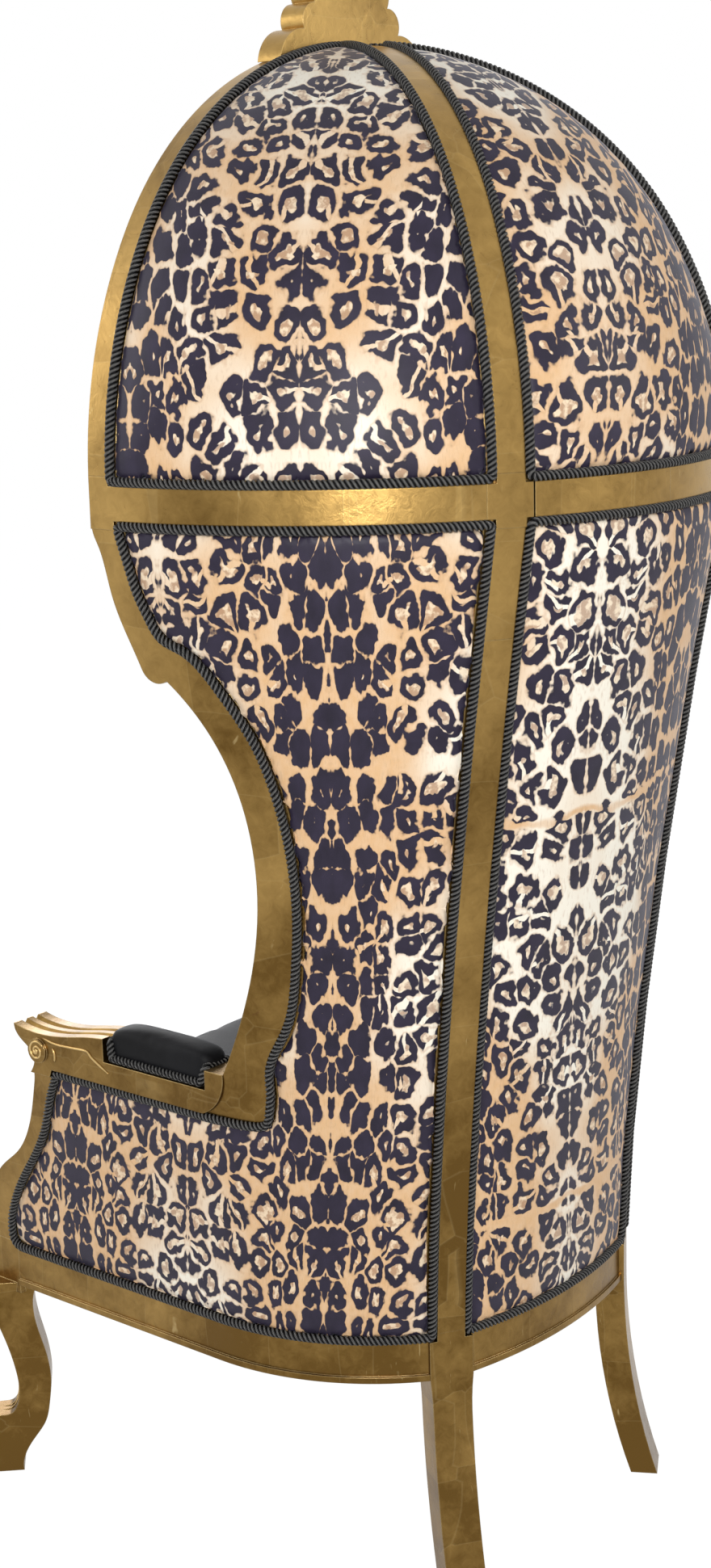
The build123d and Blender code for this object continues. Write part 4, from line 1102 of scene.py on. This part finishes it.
shape = welded("dust_cover")
upper = [face for face in shape.faces if face.normal.z > -0.5]
bmesh.ops.delete(shape, geom=upper, context="FACES")
for way in (Vector((1, 0, 0)), Vector((0, 1, 0))):
    for step in range(-15, 16):
        everything = shape.verts[:] + shape.edges[:] + shape.faces[:]
        bmesh.ops.bisect_plane(shape, geom=everything, plane_co=way * (step * cloth_step), plane_no=way)
cut_area = sum(face.calc_area() for face in shape.faces)
plan = [[vertex.co[axis] for vertex in shape.verts] for axis in (0, 1)]
flat_size = [max(places) - min(places) for places in plan]
rim = tree_of([vertex.co.copy() for vertex in shape.verts if vertex.is_boundary])
for vertex in shape.verts:
    gap = rim.find(vertex.co)[2]
    vertex.co.z -= cloth_sag * (1 - exp(-gap / cloth_ease))
cover_cloth = mesh_piece("dust_cloth", shape)
thicken = cover_cloth.modifiers.new("thicken", "SOLIDIFY")
thicken.thickness = cloth_thick
bake(cover_cloth)
dressed(cover_cloth, cambric(), "cambric", "dust_cover")
dress("corner_blocks", bare_beech())

# Carving: the scroll and raised lines on each arm, the palmettes on the crest and the front rail, and
# the leaves on each knee and foot, all cut in low relief in the wood and gilded with it.
burnished = gold_leaf("gold_burnished", (0.86, 0.64, 0.30, 1), (0.46, 0.30, 0.11, 1))
up, forward = Vector((0, 0, 1)), Vector((0, -1, 0))
cast_reach = 0.4  # how far off the wood a point is carried from
bead_radius = 0.0014
scroll_place = (-0.2475, 0.5606)
scroll_faces = (0.309, -0.253)  # the boss's outer face, and its inner one with a minus
scroll_radii = (0.0128, 0.0024)
scroll_turns = 1.75
scroll_start = 0.6
scroll_eye = 0.0026
arm_outside = 0.36
arm_lines = (
    ((-0.2385, 0.5770), (-0.2186, 0.5737), (-0.1935, 0.5745), (-0.1685, 0.5755), (-0.1600, 0.5690),
     (-0.1325, 0.5545)),
    ((-0.2236, 0.5680), (-0.2205, 0.5600), (-0.2215, 0.5500)))
palmette_rise = 0.060
palmette_size = 0.068
volute_place = (0.030, 0.040)
volute_radii = (0.016, 0.003)
volute_turns = -1.6
volute_start = 2.4
volute_bead = 0.0024
rail_front = -0.3
rail_palmette = (0.262, 0.026)  # its height and its size
vine = ((0.020, 0.272), (0.050, 0.281), (0.085, 0.268), (0.120, 0.262), (0.155, 0.276), (0.190, 0.280))
vine_bead = 0.0022
vine_leaf = (0.013, 0.0034, 0.0018)
vine_turn = 0.75
leg_middle = (0.261, -0.350)
reed_bead = 0.0012
reed_set = 0.0045
reed_heights = [height / 1000 for height in range(70, 196, 4)]
# The knee's and the foot's leaves: heights, turns, length and what the turned ones lose, width, height.
leg_leaves = (
    ((0.226, 0.214, 0.200), (-0.75, -0.38, 0.0, 0.38, 0.75), 0.034, 0.008, 0.0058, 0.0032),
    ((0.060, 0.045, 0.030), (-0.9, -0.45, 0.0, 0.45, 0.9), 0.030, 0.0, 0.0052, 0.0030))


def on_wood(node, points, way, proud=0.0):
    """Points carried along a direction until they meet a piece of the frame."""
    surface = BVHTree.FromObject(nodes[node], bpy.context.evaluated_depsgraph_get())
    met = [surface.ray_cast(point - way * cast_reach, way)[0] for point in points]
    return [place - way * proud for place in met if place]


def add_line(shape, points, radius, sides=8, ends=0.35):
    """A raised line, thinner towards its two ends, added to a mesh in the making."""
    rings = []
    count = len(points)
    for index, point in enumerate(points):
        ahead = (points[min(index + 1, count - 1)] - points[max(index - 1, 0)]).normalized()
        beside = ahead.orthogonal().normalized()
        above = ahead.cross(beside)
        fade = min(index, count - 1 - index) / max(count * 0.12, 1)
        reach = radius * min(ends + (1 - ends) * fade, 1)
        ring = []
        for place in range(sides):
            angle = 2 * pi * place / sides
            ring.append(shape.verts.new(point + (beside * cos(angle) + above * sin(angle)) * reach))
        rings.append(ring)
    skinned(shape, rings)


def add_leaf(shape, base, along, normal, length, width, height):
    """A carved leaf with a raised midrib, pointed at its tip, added to a mesh in the making."""
    along, normal = along.normalized(), normal.normalized()
    beside = along.cross(normal)
    rows = []
    for step in range(11):
        s = step / 10
        at_end = step in (0, 10)
        half = width * (sin(pi * min(s * 0.92 + 0.08, 1)) ** 0.7) * (1 - 0.35 * s)
        row = []
        for place in range(9):
            t = place / 4 - 1
            dome = height * (1 - abs(t) ** 1.6) * (0.35 + 0.65 * sin(pi * min(s + 0.12, 1)))
            rib = dome + height * 0.35 * exp(-((t / 0.22) ** 2))
            sink = -height * 0.3 if abs(t) == 1 or at_end else 0
            lift = rib * (0.2 if at_end else 1) + sink
            row.append(shape.verts.new(base + along * (length * s) + beside * (half * t) + normal * lift))
        rows.append(row)
    for first, second in zip(rows, rows[1:]):
        for place in range(8):
            shape.faces.new((first[place], first[place + 1], second[place + 1], second[place]))


def add_palmette(shape, base, up_way, normal, size, count=7):
    """A fan of leaves over a boss."""
    beside = up_way.cross(normal)
    for index in range(count):
        off_middle = index - (count - 1) / 2
        angle = off_middle * radians(25)
        way = up_way * cos(angle) + beside * sin(angle)
        length = size * (1 - 0.07 * abs(off_middle))
        add_leaf(shape, base + way * size * 0.12, way, normal, length, size * 0.13, size * 0.09)
    covered_button(shape, base, normal, size * 0.16)


def spiral(middle, first, second, radii, start_turn, turns, steps=70):
    """Points of a scroll in a plane."""
    line = []
    for step in range(steps + 1):
        share = step / steps
        radius = radii[0] + (radii[1] - radii[0]) * share ** 0.8
        angle = start_turn + 2 * pi * turns * share
        line.append(middle + first * (radius * cos(angle)) + second * (radius * sin(angle)))
    return line


def curve_through(points, step=0.003):
    """A smooth line through a few points, evenly spaced."""
    line = []
    ended = [points[0]] + points + [points[-1]]
    for a, b, c, d in zip(ended, ended[1:], ended[2:], ended[3:]):
        for part in range(12):
            t = part / 12
            square, cube = a * 2 - b * 5 + c * 4 - d, b * 3 - a - c * 3 + d
            line.append(((b * 2) + (c - a) * t + square * t**2 + cube * t**3) / 2)
    return spread(line + [points[-1]], step, closed=False)


def carved(name, shape, material):
    """A finished carving."""
    bmesh.ops.recalc_face_normals(shape, faces=shape.faces)
    dressed(mesh_piece(name, shape), material, "gilt")


for side, sign in (("left", 1), ("right", -1)):
    shape = bmesh.new()
    for face in scroll_faces:
        middle = Vector((sign * abs(face), *scroll_place))
        line = spiral(middle, -forward, up, scroll_radii, scroll_start, scroll_turns)
        add_line(shape, line, bead_radius, ends=0.6)
        covered_button(shape, middle, Vector((sign * face / abs(face), 0, 0)), scroll_eye)
    for route in arm_lines:
        raised = curve_through([Vector((sign * arm_outside, y, z)) for y, z in route])
        line = on_wood(f"arm_rail_{side}", raised, Vector((-sign, 0, 0)), 0.0002)
        add_line(shape, line, bead_radius)
    carved(f"arm_scroll_{side}", shape, burnished)

shape = bmesh.new()
crest = [vertex.co for vertex in nodes["crest"].data.vertices]
crest_front, crest_foot = min(point.y for point in crest), min(point.z for point in crest)
palmette = Vector((0, crest_front, crest_foot + palmette_rise))
add_palmette(shape, palmette, up, forward, palmette_size)
for sign in (1, -1):
    middle = Vector((sign * volute_place[0], crest_front, crest_foot + volute_place[1]))
    line = spiral(middle, Vector((sign, 0, 0)), -up, volute_radii, volute_start, volute_turns)
    add_line(shape, line, volute_bead, ends=0.7)
carved("crest_carving", shape, gilt)

shape = bmesh.new()
rail_height, rail_size = rail_palmette
boss = on_wood("seat_rail_front", [Vector((0, rail_front, rail_height))], -forward)[0]
add_palmette(shape, boss, -up, forward, rail_size, 5)
for sign in (1, -1):
    route = curve_through([Vector((sign * x, rail_front, z)) for x, z in vine])
    line = on_wood("seat_rail_front", route, -forward, 0.0004)
    add_line(shape, line, vine_bead)
    for index in range(8, len(line) - 6, 9):
        way = (line[index + 1] - line[index - 1]).normalized()
        for turn in (vine_turn, -vine_turn):
            bent = way * cos(turn) + way.cross(forward) * sin(turn)
            add_leaf(shape, line[index], bent, forward, *vine_leaf)
carved("rail_carving", shape, burnished)

for side, sign in (("left", 1), ("right", -1)):
    shape = bmesh.new()
    inward = Vector((-sign, 1, 0)).normalized()
    beside = Vector((sign, 1, 0)).normalized()
    middle = Vector((sign * leg_middle[0], leg_middle[1], 0))
    for offset in (-reed_set, reed_set):
        route = [middle + beside * offset + up * height for height in reed_heights]
        add_line(shape, on_wood(f"front_leg_{side}", route, inward, 0.0003), reed_bead)
    for heights, turns, length, loss, width, height in leg_leaves:
        foot = on_wood(f"front_leg_{side}", [middle + up * z for z in heights], inward)
        down = (foot[2] - foot[0]).normalized()
        normal = down.cross(beside)
        if normal.dot(inward) >= 0:
            normal = -normal
        for angle in turns:
            way = down * cos(angle) + beside * sin(angle)
            add_leaf(shape, foot[0], way, normal, length - loss * abs(angle), width, height)
    carved(f"leg_carving_{side}", shape, burnished)
